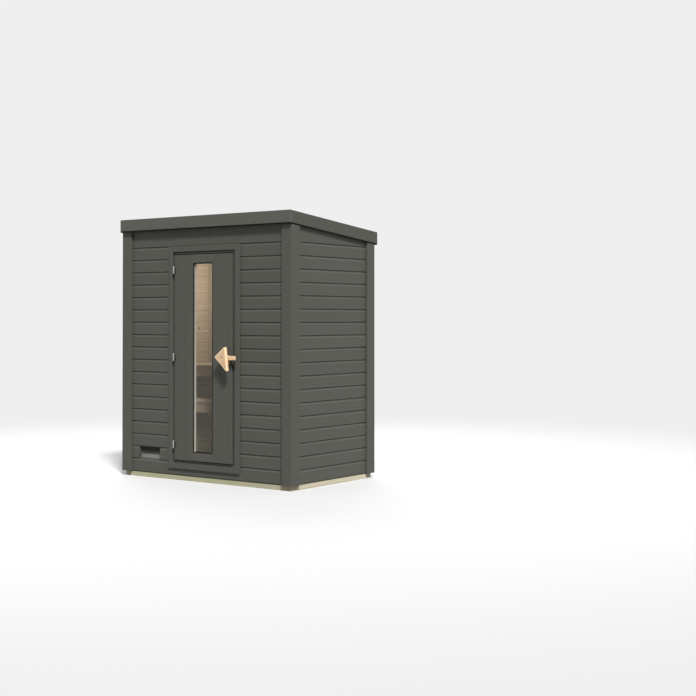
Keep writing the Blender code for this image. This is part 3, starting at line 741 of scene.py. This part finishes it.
start, end = span("front_wall_left")
wall_piece("front_boards_left", [
    (foot_board, [FOOT], (start, end)),
    (full_board, [INTAKE_FOOT], (start, intake_low.x - CONTACT)),
    (full_board, [INTAKE_FOOT], (intake_high.x + CONTACT, end)),
    (full_board, board_feet[1:], (start, end)),
], in_front, "front_wall_left")
wall_piece("front_boards_right", plain_rows(span("front_wall_right"))[:2], in_front, "front_wall_right")
wall_piece("front_board_top", plain_rows(span("front_wall_top"))[2:], in_front, "front_wall_top")
sill_tall = span("front_wall_sill", 2)[1] - FOOT
sill_board = board_section(sill_tall, groove=False)[[0, 1, 8, 9, 10, 11]]
sill_board[1:3, 1] = sill_tall
wall_piece("front_board_sill", [(sill_board, [FOOT], span("front_wall_sill"))], in_front, "front_wall_sill")
wall_piece("back_boards", plain_rows(span("back_wall")), ("X", BACK, -1), "back_wall")
wall_piece("left_boards", plain_rows(span("left_wall", 1)), ("Y", wall_left_face, 1), "left_wall")
wall_piece("right_boards", plain_rows(span("right_wall", 1)), ("Y", wall_right_face, -1), "right_wall")
dress("air_intake_sill", sill_stain)

# %% [markdown]
# ### Fly mesh
#
# The intake is open, so a mesh of grey wire is set behind the sill to keep insects out. Each wire is a long
# six-sided rod. The upright and the level ones are two stacks of rings, a wire's width apart in depth.

# %% Fly mesh
WIRE_PITCH = 0.0025
WIRE_RADIUS = 0.0007
WIRE_INSET = 0.0015
WIRE_CLEAR = 0.001
WIRE_SIDES = 6
MESH_DEPTH = 0.030


def circle(sides):
    """Points of a circle of radius one, as an array (sides, 2)."""
    angle = np.linspace(0.0, 2 * np.pi, sides, endpoint=False)
    return np.stack([np.cos(angle), np.sin(angle)], -1)


def wire_rings(span_at, lie, ends, depth):
    """Rods at one pitch over a span: a circle round each place, carried from one end to the other."""
    places = np.arange(span_at[0] + WIRE_INSET, span_at[1] - WIRE_CLEAR, WIRE_PITCH)
    along, across = (0, 2) if lie == "X" else (2, 0)
    round_it = WIRE_RADIUS * circle(WIRE_SIDES)
    rings = np.empty((len(places), 2, WIRE_SIDES, 3))
    rings[..., along] = np.array(ends)[:, None]
    rings[..., across] = places[:, None, None] + round_it[:, 0]
    rings[..., 1] = FRONT + depth + round_it[:, 1]
    return rings, lie


mesh_across = (intake_low.x, intake_high.x)
mesh_up = (intake_high.z + CONTACT, INTAKE_FOOT + COVER - 2 * CONTACT)
make_piece("intake_fly_mesh", [
    wire_rings(mesh_across, "Z", mesh_up, MESH_DEPTH),
    wire_rings(mesh_up, "X", mesh_across, MESH_DEPTH + 2 * WIRE_RADIUS),
], mesh_wire, "cabin", tone=0.0)

# %% [markdown]
# ## Corner boards and fascias
#
# The corner boards keep the solids of the frame, with their rounded edges, and get the stain with its grain
# upright. A fascia is a planed board set on edge along the roof. The section of the two side ones is carried
# along a sloping line. The outer faces of the side and back fascias stand in by the height of a nail head, so
# that the nail heads end within the frame's box.

# %% Corner boards
corners = [node for node in frame["nodes"] if node.startswith("corner")]
for node in corners:
    dress(node, trim_stain_upright)
print("corner boards:", corners)

# %% Fascias
FASCIA_ROUND = 0.003
FRONT_FASCIA_PAINTED_LIGHT = 0.19
NAIL_TALL = 0.0009


def sloping(rings):
    """Shears rings so that what was level follows the roof plane through the front edge."""
    rings[..., 2] -= ROOF_SLOPE * (rings[..., 1] - fascia_front_low.y)
    return rings


fascia_base = fascia_foot(fascia_front_low.y)
for name in ("fascia_front", "fascia_back", "fascia_left", "fascia_right"):
    low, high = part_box(name)
    lie = "X" if name in ("fascia_front", "fascia_back") else "Y"
    low.x += NAIL_TALL * (name != "fascia_right")
    high.x -= NAIL_TALL * (name != "fascia_left")
    high.y -= NAIL_TALL * (name != "fascia_front")
    low.z, high.z = fascia_base, fascia_base + FASCIA_HEIGHT
    rings = sloping(timber(low, high, lie, FASCIA_ROUND, steps=4))
    # painted light: the front fascia has the same stain as the others, made a fifth lighter for the brighter
    # light on it
    shade = FRONT_FASCIA_PAINTED_LIGHT * (name == "fascia_front")
    make_piece(name + "_board", [(rings, lie)], trim_stain, "cabin", [name], shade=shade)

# %% [markdown]
# ## Roof covering
#
# The sheet comes in rolls and is laid along the roof from the low edge up, each course over the one below
# it. The surface is one grid of points: its height is the roof plane, plus a small step at the lap, plus a
# faint waviness where the sheet has stretched in the sun.

# %% Roof covering
sheet_low, sheet_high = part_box("roof_membrane")
SHEET_THICK = 0.004
LAP_STEP = 0.0012
LAP_AT = -0.10
LAP_SOFT = 0.002
WAVE_TALL = 0.0002
SHEET_GRID = (120, 96)


def roof_sheet():
    """A grid that stands over the roof plane by its thickness, the lap's step and the waves."""
    across = np.pad(np.linspace(sheet_low.x, sheet_high.x, SHEET_GRID[0]), 1, "edge")
    x, y = np.meshgrid(across, np.linspace(sheet_low.y, sheet_high.y, SHEET_GRID[1]))
    lift = SHEET_THICK + LAP_STEP / (1 + np.exp((y - LAP_AT) / LAP_SOFT))
    lift += WAVE_TALL * np.sin(5.1 * x + 2.0 * y) * np.sin(3.3 * x - 7.0 * y)
    lift[:, [0, -1]] = 0.0
    return np.stack([x, y, sheet_high.z - SHEET_THICK - ROOF_SLOPE * (y - sheet_low.y) + lift], -1)[None]


make_piece(
    "roof_sheet", [(roof_sheet(), "X flat")], roofing, "cabin", ["roof_membrane"], tone=0.0
)
dress("roof_panel", spruce_level)

# %% [markdown]
# A thin black strip hangs a few millimetres below the fascias. It is painted shade: a near-black sheet put
# where the gap under the fascia lies in shadow, so that it shows from the ground as a thin black line. Each
# strip is a flat section carried along the slope, like the fascia.

# %% Black strip of painted shade under the fascias
SHADOW_STRIP_HANG = 0.0105
SHADOW_STRIP_THICK = 0.0024
SHADOW_STRIP_SET = 0.0012
SHADOW_STRIP_ROUND = 0.0008
SHADOW_STRIP_END = 0.0005
side_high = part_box("fascia_right")[1]
outer_x = side_high.x - NAIL_TALL - SHADOW_STRIP_SET
shadow_strip_front = fascia_front_low.y + SHADOW_STRIP_SET
shadow_strip_back = fascia_back_high.y - NAIL_TALL - SHADOW_STRIP_SET


def shadow_strip(low_x, high_x, low_y, high_y, lie):
    """A thin near-black strip of painted shade, hanging from the fascia's lower edge all along the slope."""
    low, high = (low_x, low_y, fascia_base - SHADOW_STRIP_HANG), (high_x, high_y, fascia_base - CONTACT)
    return sloping(timber(low, high, lie, SHADOW_STRIP_ROUND, SHADOW_STRIP_END, steps=2)), lie


side_run = (shadow_strip_front + SHADOW_STRIP_THICK + CONTACT, shadow_strip_back - SHADOW_STRIP_THICK - CONTACT)
make_piece("roof_drip_edge", [
    shadow_strip(-outer_x, outer_x, shadow_strip_front, shadow_strip_front + SHADOW_STRIP_THICK, "X"),
    shadow_strip(-outer_x, outer_x, shadow_strip_back - SHADOW_STRIP_THICK, shadow_strip_back, "X"),
    shadow_strip(-outer_x, SHADOW_STRIP_THICK - outer_x, *side_run, "Y"),
    shadow_strip(outer_x - SHADOW_STRIP_THICK, outer_x, *side_run, "Y"),
], bare_bitumen, "cabin", tone=0.0)

# %% [markdown]
# ## Base timbers and floor
#
# The cabin rests on a ladder of pressure-treated timbers, which show as a pale green strip under the stained
# walls. They are sawn, so their edges are only just broken. The floor inside is of planed boards laid from
# front to back.

# %% Base timbers
SAWN_EDGE = 0.0015
base_lies = {"front": "X", "back": "X", "left": "Y", "middle": "Y", "right": "Y"}
base_nodes = ["base_timber_" + place for place in base_lies]
base_boxes = [(*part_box("base_timber_" + place), lie) for place, lie in base_lies.items()]
timbers("base_timbers", base_boxes, treated, "cabin", base_nodes, SAWN_EDGE, 0.05)

# %% Floor boards
FLOOR_COVER = 0.0914
FLOOR_GAP = 0.001
floor_low, floor_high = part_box("floor")
floor_count = round((floor_high.x - floor_low.x) / FLOOR_COVER)
floor_edges = np.linspace(floor_low.x, floor_high.x, floor_count + 1)
floor_boxes = [
    ((start, floor_low.y, floor_low.z), (stop - FLOOR_GAP, floor_high.y, floor_high.z), "Y flat")
    for start, stop in zip(floor_edges[:-1], floor_edges[1:])
]
timbers("floor_boards", floor_boxes, spruce, "cabin", ["floor"], SAWN_EDGE, 0.05)

# %% [markdown]
# ## Doorway
#
# A casing of four flat strips covers the joint between the wall and the lining. The side strips run the full
# height, and the head and foot strips sit between them. The lining and its stop keep the solids of the
# frame.

# %% Casing and lining
CASING_ROUND = 0.0025
for place, lie in (("left", "Z"), ("right", "Z"), ("head", "X"), ("foot", "X")):
    node = "casing_" + place
    box = (*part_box(node), lie)
    timbers(node + "_strip", [box], trim_stain, "cabin", [node], CASING_ROUND)
# the head lining takes the lighter stain, painted light in its shaded recess
for node, finish in (
    ("door_lining_left", trim_stain_upright), ("door_lining_right", trim_stain_upright),
    ("door_lining_head", lining_stain), ("door_threshold", trim_stain_level),
):
    dress(node, finish)

# %% [markdown]
# A black rubber strip lies in the corner under the head casing. It is painted shade, a dark strip where the
# head casing throws its shadow, and it is one small rounded strip between the side casings.

# %% Black strip of painted shade under the head
HEAD_SHADE_STRIP = 0.0075
HEAD_SHADE_INSET = 0.003
head_low, head_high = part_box("casing_head")
# painted shade: a black strip where the head casing throws its shadow
timbers("head_seal", [(
    (head_low.x + CONTACT, head_low.y + HEAD_SHADE_INSET, head_low.z - HEAD_SHADE_STRIP),
    (head_high.x - CONTACT, head_high.y - CONTACT, head_low.z - CONTACT),
    "X",
)], rubber, "cabin", tone=0.0)

# %% [markdown]
# ## Door leaf
#
# Two wide stiles stand left and right of the pane, each with two fine V-joints from top to bottom, and two
# short rails close the pane above and below. The section of a stile is its outline seen from above: a flat
# face with two notches, and a rounded outer edge.

# %% Stiles and rails
LEAF_JOINTS = (0.125, 0.041)
LEAF_JOINT_HALF = 0.0026
LEAF_JOINT_DEEP = {-1: 0.0060, 1: 0.0034}
LEAF_EDGE = 0.003
RAIL_ROUND = 0.0012


def stile_rings(node, side):
    """Rings of one stile. The notches are at set distances from the leaf's outer edge, on both faces."""
    low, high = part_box(node)
    outer, inner = (high.x, low.x) if side > 0 else (low.x, high.x)
    line = [(inner, 0.0)]
    for inset in LEAF_JOINTS:
        x, half = outer - side * inset, side * LEAF_JOINT_HALF
        line += [(x - half, 0.0), (x, LEAF_JOINT_DEEP[side]), (x + half, 0.0)]
    arc = np.linspace(0.0, np.pi / 2, 4)
    edge = np.stack([outer - side * LEAF_EDGE * (1 - np.sin(arc)), LEAF_EDGE * (1 - np.cos(arc))], -1)
    x, inset = np.concatenate([line, edge]).T
    rings = np.empty((1, 2, 2 * len(x), 3))
    rings[..., 0] = np.concatenate([x, x[::-1]])
    rings[..., 1] = np.concatenate([low.y + inset, (high.y - inset)[::-1]])
    rings[..., 2] = np.array([low.z, high.z])[:, None]
    return rings


for node, side in (("door_stile_left", -1), ("door_stile_right", 1)):
    rings = stile_rings(node, side)
    make_piece(node + "_boards", [(rings, "Z")], trim_stain, "door", [node])
for node in ("door_rail_top", "door_rail_bottom"):
    timbers(node + "_board", [(*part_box(node), "Z")], trim_stain, "door", [node], RAIL_ROUND)

# %% [markdown]
# ### Pane, seal and lining
#
# The pane sits close behind the front face in a black rubber seal. Behind it, a thin lining of pale birch
# holds it and covers the sawn edges of the leaf. Both are mitred frames: one small section carried round the
# four sides, with its corners cut at half a right angle. The lining stops short of the leaf's rear face, and
# it is lower at the foot.

# %% Mitred frames
GASKET_WIDTH = 0.0098
LINING_WIDTH = 0.0105
LINING_FOOT_SHARE = 0.55
LINING_BACK = 0.008
FRAME_ROUND = 0.0015


def frame_piece(name, node, width, finish, foot_share=1.0, back=0.0):
    """Four mitred strips round the opening of the pane, in the box of a node: left, foot, right and head.

    The section is an outline of (depth, distance in from the outer edge). On each side, the end at a corner
    moves in by as much as the point lies in, which cuts the mitre. foot_share makes the strip at the foot
    lower than the others, and back is how much the frame stops short of the box at the rear.
    """
    low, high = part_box(node)
    deep = high.y - back
    depth, inward = rounded_outline([(low.y, 0.0), (deep, 0.0), (deep, width), (low.y, width)], FRAME_ROUND).T
    left, right = low.x + inward, high.x - inward
    foot, head = low.z + inward * foot_share, high.z - inward
    rings = np.empty((4, 1, 2, len(depth), 3))
    rings[..., 1] = depth
    rings[0, ..., 0], rings[2, ..., 0] = left, right
    rings[1, ..., 2], rings[3, ..., 2] = foot, head
    rings[::2, 0, 0, :, 2], rings[::2, 0, 1, :, 2] = foot, head
    rings[1::2, 0, 0, :, 0], rings[1::2, 0, 1, :, 0] = left, right
    make_piece(name, list(zip(rings, "ZXZX")), finish, "door", [node])


frame_piece("pane_seal", "door_glass_gasket", GASKET_WIDTH, rubber)
frame_piece(
    "pane_lining", "door_glass_bead", LINING_WIDTH, pale_birch, LINING_FOOT_SHARE, LINING_BACK
)
dress("door_glass", glass)

# %% [markdown]
# ## Hinges
#
# A barrel hinge has two knuckles on one pin, the upper one on the leaf and the lower one on the lining. They
# are solids of the frame. Added here are the pin's domed upper head and the black bush with the lower head
# under it, each a profile turned about the pin, and black pads on the leaf beside the knuckles. The black of
# the bush and the pads is painted shade, for the shadow under each hinge and in its recess.

# %% Hinges
HINGES = ("top", "middle", "bottom")
HEAD_RADIUS = 0.0056
HEAD_TALL = 0.0034
HEAD_SIDES = 24
HEAD_DOMED = 0.94
SHADE_BUSH_RADIUS = 0.0064
SHADE_BUSH_TALL = 0.0090
SMOOTH_UP_TO = math.radians(40)
pivot_x, pivot_y, _ = frame["joints"][0]["pos_m"]


def pin_head(foot, way):
    """Rings of a pin's head: each (radius, height) of a profile becomes a circle about the pin.

    The profile is a flat foot and then a quarter ellipse up to a small flat top, upward or downward. The
    lower head sits on a bush, black as painted shade, whose profile is a straight run before the same quarter
    ellipse.
    """
    share = np.linspace(0.0, np.pi / 2 * HEAD_DOMED, 6)
    profile = np.stack([HEAD_RADIUS * np.cos(share), HEAD_TALL * np.sin(share)], -1)
    if way < 0:
        tall = SHADE_BUSH_TALL - HEAD_TALL
        profile = np.concatenate([[(SHADE_BUSH_RADIUS, 0.0), (SHADE_BUSH_RADIUS, tall)], profile + (0.0, tall)])
    rings = np.empty((1, len(profile), HEAD_SIDES, 3))
    rings[..., :2] = (pivot_x, pivot_y) + profile[:, 0, None, None] * circle(HEAD_SIDES)
    rings[..., 2] = foot + way * profile[:, 1, None]
    return rings, "Z"


def smooth(obj):
    obj.data.shade_smooth()
    obj.data.set_sharp_from_angle(angle=SMOOTH_UP_TO)


upper_heads, lower_heads = [], []
for place in HINGES:
    leaf, jamb = f"hinge_{place}_leaf", f"hinge_{place}_jamb"
    dress(leaf, steel)
    dress(jamb, steel)
    upper_heads.append(pin_head(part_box(leaf)[1].z, 1))
    lower_heads.append(pin_head(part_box(jamb)[0].z, -1))
smooth(make_piece("hinge_pin_heads_upper", upper_heads, steel, "door"))
# painted shade: the lower heads and their bushes are black rubber, for the shadow under each hinge
smooth(make_piece("hinge_pin_heads_lower", lower_heads, rubber, "cabin"))

# %% Black pads of painted shade beside the hinges
SHADE_PAD_WIDTH = 0.0110
SHADE_PAD_TALL = 0.0150
SHADE_PAD_PROUD = 0.0012
SHADE_PAD_AWAY = 0.0070
SHADE_PAD_ROUND = 0.0005
SHADE_PAD_SHARES = (0.23, 0.70)
# painted shade: black pads on the leaf beside each knuckle, for the shade of the hinge's recess
shade_pad_boxes = []
shade_pad_left = pivot_x + SHADE_PAD_AWAY
leaf_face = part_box("door_stile_left")[0].y
for place in HINGES:
    foot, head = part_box(f"hinge_{place}_jamb")[0].z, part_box(f"hinge_{place}_leaf")[1].z
    for share in SHADE_PAD_SHARES:
        middle = foot + share * (head - foot)
        low = (shade_pad_left, leaf_face - SHADE_PAD_PROUD, middle - SHADE_PAD_TALL / 2)
        high = (shade_pad_left + SHADE_PAD_WIDTH, leaf_face - CONTACT / 3, middle + SHADE_PAD_TALL / 2)
        shade_pad_boxes.append((low, high, "Z"))
timbers("hinge_screw_caps", shade_pad_boxes, rubber, "door", radius=SHADE_PAD_ROUND, tone=0.0)

# %% [markdown]
# ## Handle
#
# The handle is a pine triangle with three round corners, which is the outline that a band takes round three
# equal coins. So its edge is rounded by a simple rule: the ring at each depth is the same outline with
# smaller coins, which shrink as the depth goes round a quarter circle. The tone rises towards the rim as a
# painted highlight, for the light that the rounded edge catches.

# %% Handle plate
COIN_RADIUS = 0.0078
COINS = np.array([(0.2150, 1.0785), (0.3365, 0.9680), (0.3135, 1.1545)])
COIN_STEPS = 10
PLATE_EDGE = 0.0055
PLATE_SHRINK = (0.30, 0.90, 0.955)
RIM_HIGHLIGHT_SHARES = [0.0, 0.0, 0.8, 0.95, 1.0, 1.0, 1.0, 1.0, 1.0, 1.0]
RIM_PAINTED_HIGHLIGHT = 0.38
MIDDLE_TONE = -0.14
plate_low, plate_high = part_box("handle_plate")


def band_round_coins(radius):
    """The band's outline: on each coin, an arc from the one straight run's normal to the next one's."""
    going = np.roll(COINS, -1, 0) - COINS
    heading = np.arctan2(going[:, 1], going[:, 0])
    before = np.roll(heading, 1)
    turn_by = (heading - before + np.pi) % (2 * np.pi) - np.pi
    share = np.linspace(0.0, 1.0, COIN_STEPS + 1)
    angle = before[:, None] + turn_by[:, None] * share - np.pi / 2
    spoke = np.stack([np.cos(angle), np.sin(angle)], -1)
    return (COINS[:, None, :] + radius * spoke).reshape(-1, 2)


def plate_rings():
    """Rings from the rear to the front: a quarter circle at each edge, and smaller copies on the faces.

    A small copy is the outline drawn towards the middle of the coins by a share of each point's distance.
    """
    share = np.linspace(0.0, np.pi / 2, 7)
    edge = np.stack([band_round_coins(COIN_RADIUS - PLATE_EDGE * (1 - step)) for step in np.sin(share)])
    middle = COINS.mean(0)
    copies = np.stack([middle + shrink * (edge[0] - middle) for shrink in PLATE_SHRINK])
    half = np.concatenate([copies, edge])
    into = np.concatenate([np.zeros(len(copies)), PLATE_EDGE * (1 - np.cos(share))])
    outline = np.concatenate([half, half[::-1]])
    rings = np.empty((1, *outline.shape[:2], 3))
    rings[..., ::2] = outline
    rings[..., 1] = np.concatenate([plate_high.y - into, (plate_low.y + into)[::-1]])[:, None]
    return rings


stack = (plate_rings(), "Z")
plate = make_piece("handle_triangle", [stack], pine_handle, "door", ["handle_plate"])
# painted highlight: the tone rises from the face to the rim, for the light on the rounded edge
tone_with_rim_highlight = MIDDLE_TONE + RIM_PAINTED_HIGHLIGHT * np.array(RIM_HIGHLIGHT_SHARES + RIM_HIGHLIGHT_SHARES[::-1], np.float32)
plate.data.attributes["tone"].data.foreach_set("value", np.repeat(tone_with_rim_highlight, len(COINS) * (COIN_STEPS + 1)))
smooth(plate)

# %% [markdown]
# The plate stands off the leaf on a short block, so that fingers fit behind it. From the block, a slim neck
# and a bar reach to the right in front of the casing. They are planed timbers too. Inside, a plain grip
# keeps its solid.

# %% Handle stand, bar and grip
STAND_WIDTH = 0.030
BAR_TRIM = 0.010
BAR_SLIM = (0.001, 0.004)
HANDLE_ROUND = 0.003
low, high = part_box("handle_block")
bar_low, bar_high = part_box("handle_bar")
bar_foot, bar_head = bar_low.z + BAR_SLIM[0], bar_high.z - BAR_SLIM[1]
timbers("handle_stand", [
    (low, (low.x + STAND_WIDTH, high.y, high.z), "Y"),
    ((low.x + STAND_WIDTH + CONTACT, bar_low.y, bar_foot), (high.x, bar_high.y, bar_head), "X"),
], pine, "door", ["handle_block"], HANDLE_ROUND)
timbers("handle_latch_bar", [
    ((bar_low.x, bar_low.y, bar_foot), (bar_high.x - BAR_TRIM, bar_high.y, bar_head), "X"),
], pine, "door", ["handle_bar"], HANDLE_ROUND)
dress("inner_grip", pine_upright)

# %% [markdown]
# ## Benches and backrest
#
# Two benches run from wall to wall, the upper one behind the lower one. Each has slats with gaps for the
# air, on three bearers, and an apron under the front slat. Cleats on the side walls carry their ends. The
# backrest is three slats on three uprights. All edges are well rounded, because people sit on them.

# %% Benches
SLAT_WIDTH = 0.088
SLAT_SPACE = 0.012
SEAT_THICK = 0.024
APRON_THICK = 0.026
NOSING = 0.004
BEARER = 0.045
BEARER_END = 0.040
CLEAT = 0.030
BENCH_ROUND = 0.004


def bench_boxes(node):
    """Slats, apron and bearers of a bench, from its box, then the two cleats under its ends."""
    low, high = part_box(node)
    under = high.z - SEAT_THICK
    count = round((high.y - low.y + SLAT_SPACE) / (SLAT_WIDTH + SLAT_SPACE))
    pitch = (high.y - low.y + SLAT_SPACE) / count
    boxes = [
        ((low.x, low.y + pitch * i, under), (high.x, low.y + pitch * (i + 1) - SLAT_SPACE, high.z), "X flat")
        for i in range(count)
    ]
    apron_back = low.y + NOSING + APRON_THICK
    boxes.append(((low.x, low.y + NOSING, low.z), (high.x, apron_back, under - CONTACT), "X flat"))
    reach, half = high.x - BEARER_END - BEARER / 2, BEARER / 2
    for left, right in (
        (-reach - half, -reach + half), (-half, half), (reach - half, reach + half),
        (-high.x, CLEAT - high.x), (high.x - CLEAT, high.x),
    ):
        near, far = (left, apron_back + CONTACT, under - BEARER), (right, high.y - NOSING, under - CONTACT)
        boxes.append((near, far, "Y flat"))
    return boxes


for node in ("upper_bench", "lower_bench"):
    timbers(node + "_boards", bench_boxes(node), spruce, "cabin", [node], BENCH_ROUND, 0.05)

# %% Backrest
REST_SLATS = 3
REST_SPACE = 0.022
REST_THICK = 0.018
UPRIGHT_SPREAD = 0.700
rest_low, rest_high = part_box("backrest")
rest_pitch = (rest_high.z - rest_low.z + REST_SPACE) / REST_SLATS
rest_back = rest_low.y + REST_THICK
rest_boxes = []
for foot in rest_low.z + rest_pitch * np.arange(REST_SLATS):
    low, high = (rest_low.x, rest_low.y, foot), (rest_high.x, rest_back, foot + rest_pitch - REST_SPACE)
    rest_boxes.append((low, high, "X"))
for x in (-UPRIGHT_SPREAD, 0.0, UPRIGHT_SPREAD):
    low = (x - BEARER / 2, rest_back + CONTACT, rest_low.z)
    rest_boxes.append((low, (x + BEARER / 2, rest_high.y, rest_high.z), "Z"))
timbers("backrest_slats", rest_boxes, spruce, "cabin", ["backrest"], BENCH_ROUND, 0.05)

# %% [markdown]
# ### Corner battens
#
# Square battens close the upright joints between the walls of the room. Above the benches they stand in the
# back corners, and in the front corners they run from the floor to the ceiling. They are painted a shade
# darker than the benches, as painted shade for the shade on their faces, and their tops follow the slope.

# %% Corner battens
BATTEN = 0.034
BATTEN_PAINTED_SHADE = -0.25
BATTEN_ROUND = 0.003
room_x = wall_right_face - THICK - CONTACT
batten_stacks = []
for way, foot in ((-1, floor_high.z + CONTACT), (1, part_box("upper_bench")[1].z + CONTACT)):
    face = way * (BACK - THICK - CONTACT)
    near, far = sorted((face, face - way * BATTEN))
    for side in (-1, 1):
        left, right = sorted((side * room_x, side * (room_x - BATTEN)))
        rings = timber((left, near, foot), (right, far, foot + 1.0), "Z", BATTEN_ROUND)
        rings[:, 2:, :, 2] = wall_top(rings[:, 2:, :, 1]) - CONTACT
        rings[:, 2, :, 2] -= END_EASE
        batten_stacks.append((rings, "Z"))
# painted shade: the battens are a quarter darker than the spruce, for the shade on their faces
make_piece("corner_battens", batten_stacks, spruce, "cabin", tone=0.0, shade=BATTEN_PAINTED_SHADE)

# %% [markdown]
# ## Nails
#
# The casing and the fascias are nailed with small flat-headed nails, which show as dots where the stain is
# thin on them. A head is a low dome: its radius goes as the cosine, and its height as the sine, of one
# angle.

# %% Nails
NAIL_RADIUS = 0.0040
NAIL_SIDES = 10
NAIL_SHADE = -0.60
CASING_INSET = 0.016
FASCIA_NAIL_PITCH = 0.3
SIDE_NAIL_PITCH = 0.26
NAIL_RISE = 0.015


def nail_heads(name, places, axis, way):
    """Domed heads at places on a face that looks along an axis, backwards where way is -1."""
    places = np.array(places)
    rise = np.linspace(0.0, np.pi / 2 * 0.85, 3)
    others = [i for i in range(3) if i != axis]
    rings = np.empty((len(places), 3, NAIL_SIDES, 3))
    flat = NAIL_RADIUS * np.cos(rise)[:, None, None] * circle(NAIL_SIDES)
    rings[..., others] = places[:, None, None, others] + flat
    rings[..., axis] = places[:, None, None, axis] + way * NAIL_TALL * np.sin(rise)[:, None]
    make_piece(name, [(rings, "X")], trim_stain, "cabin", tone=0.0, shade=NAIL_SHADE)


casing_x, casing_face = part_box("casing_right")[1].x - CASING_INSET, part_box("casing_left")[0].y
casing_nails = [(x, casing_face, z) for x in (-casing_x, casing_x) for z in board_feet + COVER / 2]
fascia_nails = []
for x in FASCIA_NAIL_PITCH * np.arange(-3, 4):
    for step, rise in ((-0.012, 0.016), (0.013, 0.014)):
        fascia_nails.append((x + step, fascia_front_low.y, fascia_base + rise))
side_nails = []
for y in SIDE_NAIL_PITCH * np.arange(-2, 3):
    for step in (-0.013, 0.014):
        side_nails.append((side_high.x - NAIL_TALL, y + step, fascia_foot(y + step) + NAIL_RISE))
back_y = fascia_back_high.y
back_nails = [(x, back_y - NAIL_TALL, fascia_foot(back_y) + NAIL_RISE) for x, _, _ in fascia_nails]
nail_heads("front_nail_heads", casing_nails + fascia_nails, 1, -1)
nail_heads("right_nail_heads", side_nails, 0, 1)
nail_heads("left_nail_heads", np.array(side_nails) * (-1, 1, 1), 0, -1)
nail_heads("back_nail_heads", back_nails, 1, 1)

# %% [markdown]
# ## Floor of the studio
#
# The floor is a wide plain disc. It keeps the cabin's shadow near the middle and fades into the background
# further out. To the light it is a middling grey, so that it throws no strong glow up the walls, and to the
# camera it is pale.

# %% Studio floor
FLOOR_PALE = 0.60
FLOOR_DULL = 0.24
FLOOR_REACH = 40.0
FADE_FROM = 2.2
FADE_TO = 7.5

floor_mesh = bpy.data.meshes.new("studio_floor")
rim = np.pad(FLOOR_REACH * circle(64), ((0, 0), (0, 1)))
floor_mesh.from_pydata(rim.tolist(), [], [list(range(len(rim)))])
floor_look, graph = start_material("studio_floor", Roughness=0.9)
looked_at = graph.looked_at()
graph.put(graph.shader.inputs["Base Color"], graph.blend(looked_at, [FLOOR_DULL] * 3, [FLOOR_PALE] * 3))
away = graph.vector("DISTANCE", graph.place(), (0.0, 0.0, 0.0))
fade = graph.math("MULTIPLY", graph.ramp(away, FADE_FROM, FADE_TO), looked_at)
graph.mix_surface(fade, graph.add("Emission", Strength=BACKGROUND_LEVEL))
floor_mesh.materials.append(floor_look)
add_object("studio_floor", floor_mesh)
bpy.context.scene.view_settings.view_transform = "Standard"
print("floor", FLOOR_REACH, "m")

# %% [markdown]
# ## Lamp in the room
#
# Daylight through the pane leaves the upper part of the room too dark. One weak warm lamp hangs there, with
# a cone turned to the left and back wall, so that the benches stay in the light of the pane. The camera
# doesn't see it.

# %% Room lamp
ROOM_LAMP_PLACE = (-0.35, -0.05, 1.75)
ROOM_LAMP_WATTS = 15.2
ROOM_LAMP_COLOUR = (1.0, 0.95, 0.90)
ROOM_LAMP_SIZE = 0.12
ROOM_LAMP_CONE = 120.0
ROOM_LAMP_BLEND = 0.4
ROOM_LAMP_PITCH = 70.0
ROOM_LAMP_TURN = 59.0
room_data = bpy.data.lights.new("room", "SPOT")
room_data.shadow_soft_size = ROOM_LAMP_SIZE
room_data.energy = ROOM_LAMP_WATTS
room_data.spot_size = math.radians(ROOM_LAMP_CONE)
room_data.spot_blend = ROOM_LAMP_BLEND
room_data.color = ROOM_LAMP_COLOUR
room = add_object("room", room_data)
room.location = ROOM_LAMP_PLACE
room.rotation_euler = (math.radians(ROOM_LAMP_PITCH), 0.0, math.radians(ROOM_LAMP_TURN))
room.visible_camera = room.visible_transmission = room.visible_glossy = False
print("room lamp", ROOM_LAMP_WATTS, "W")
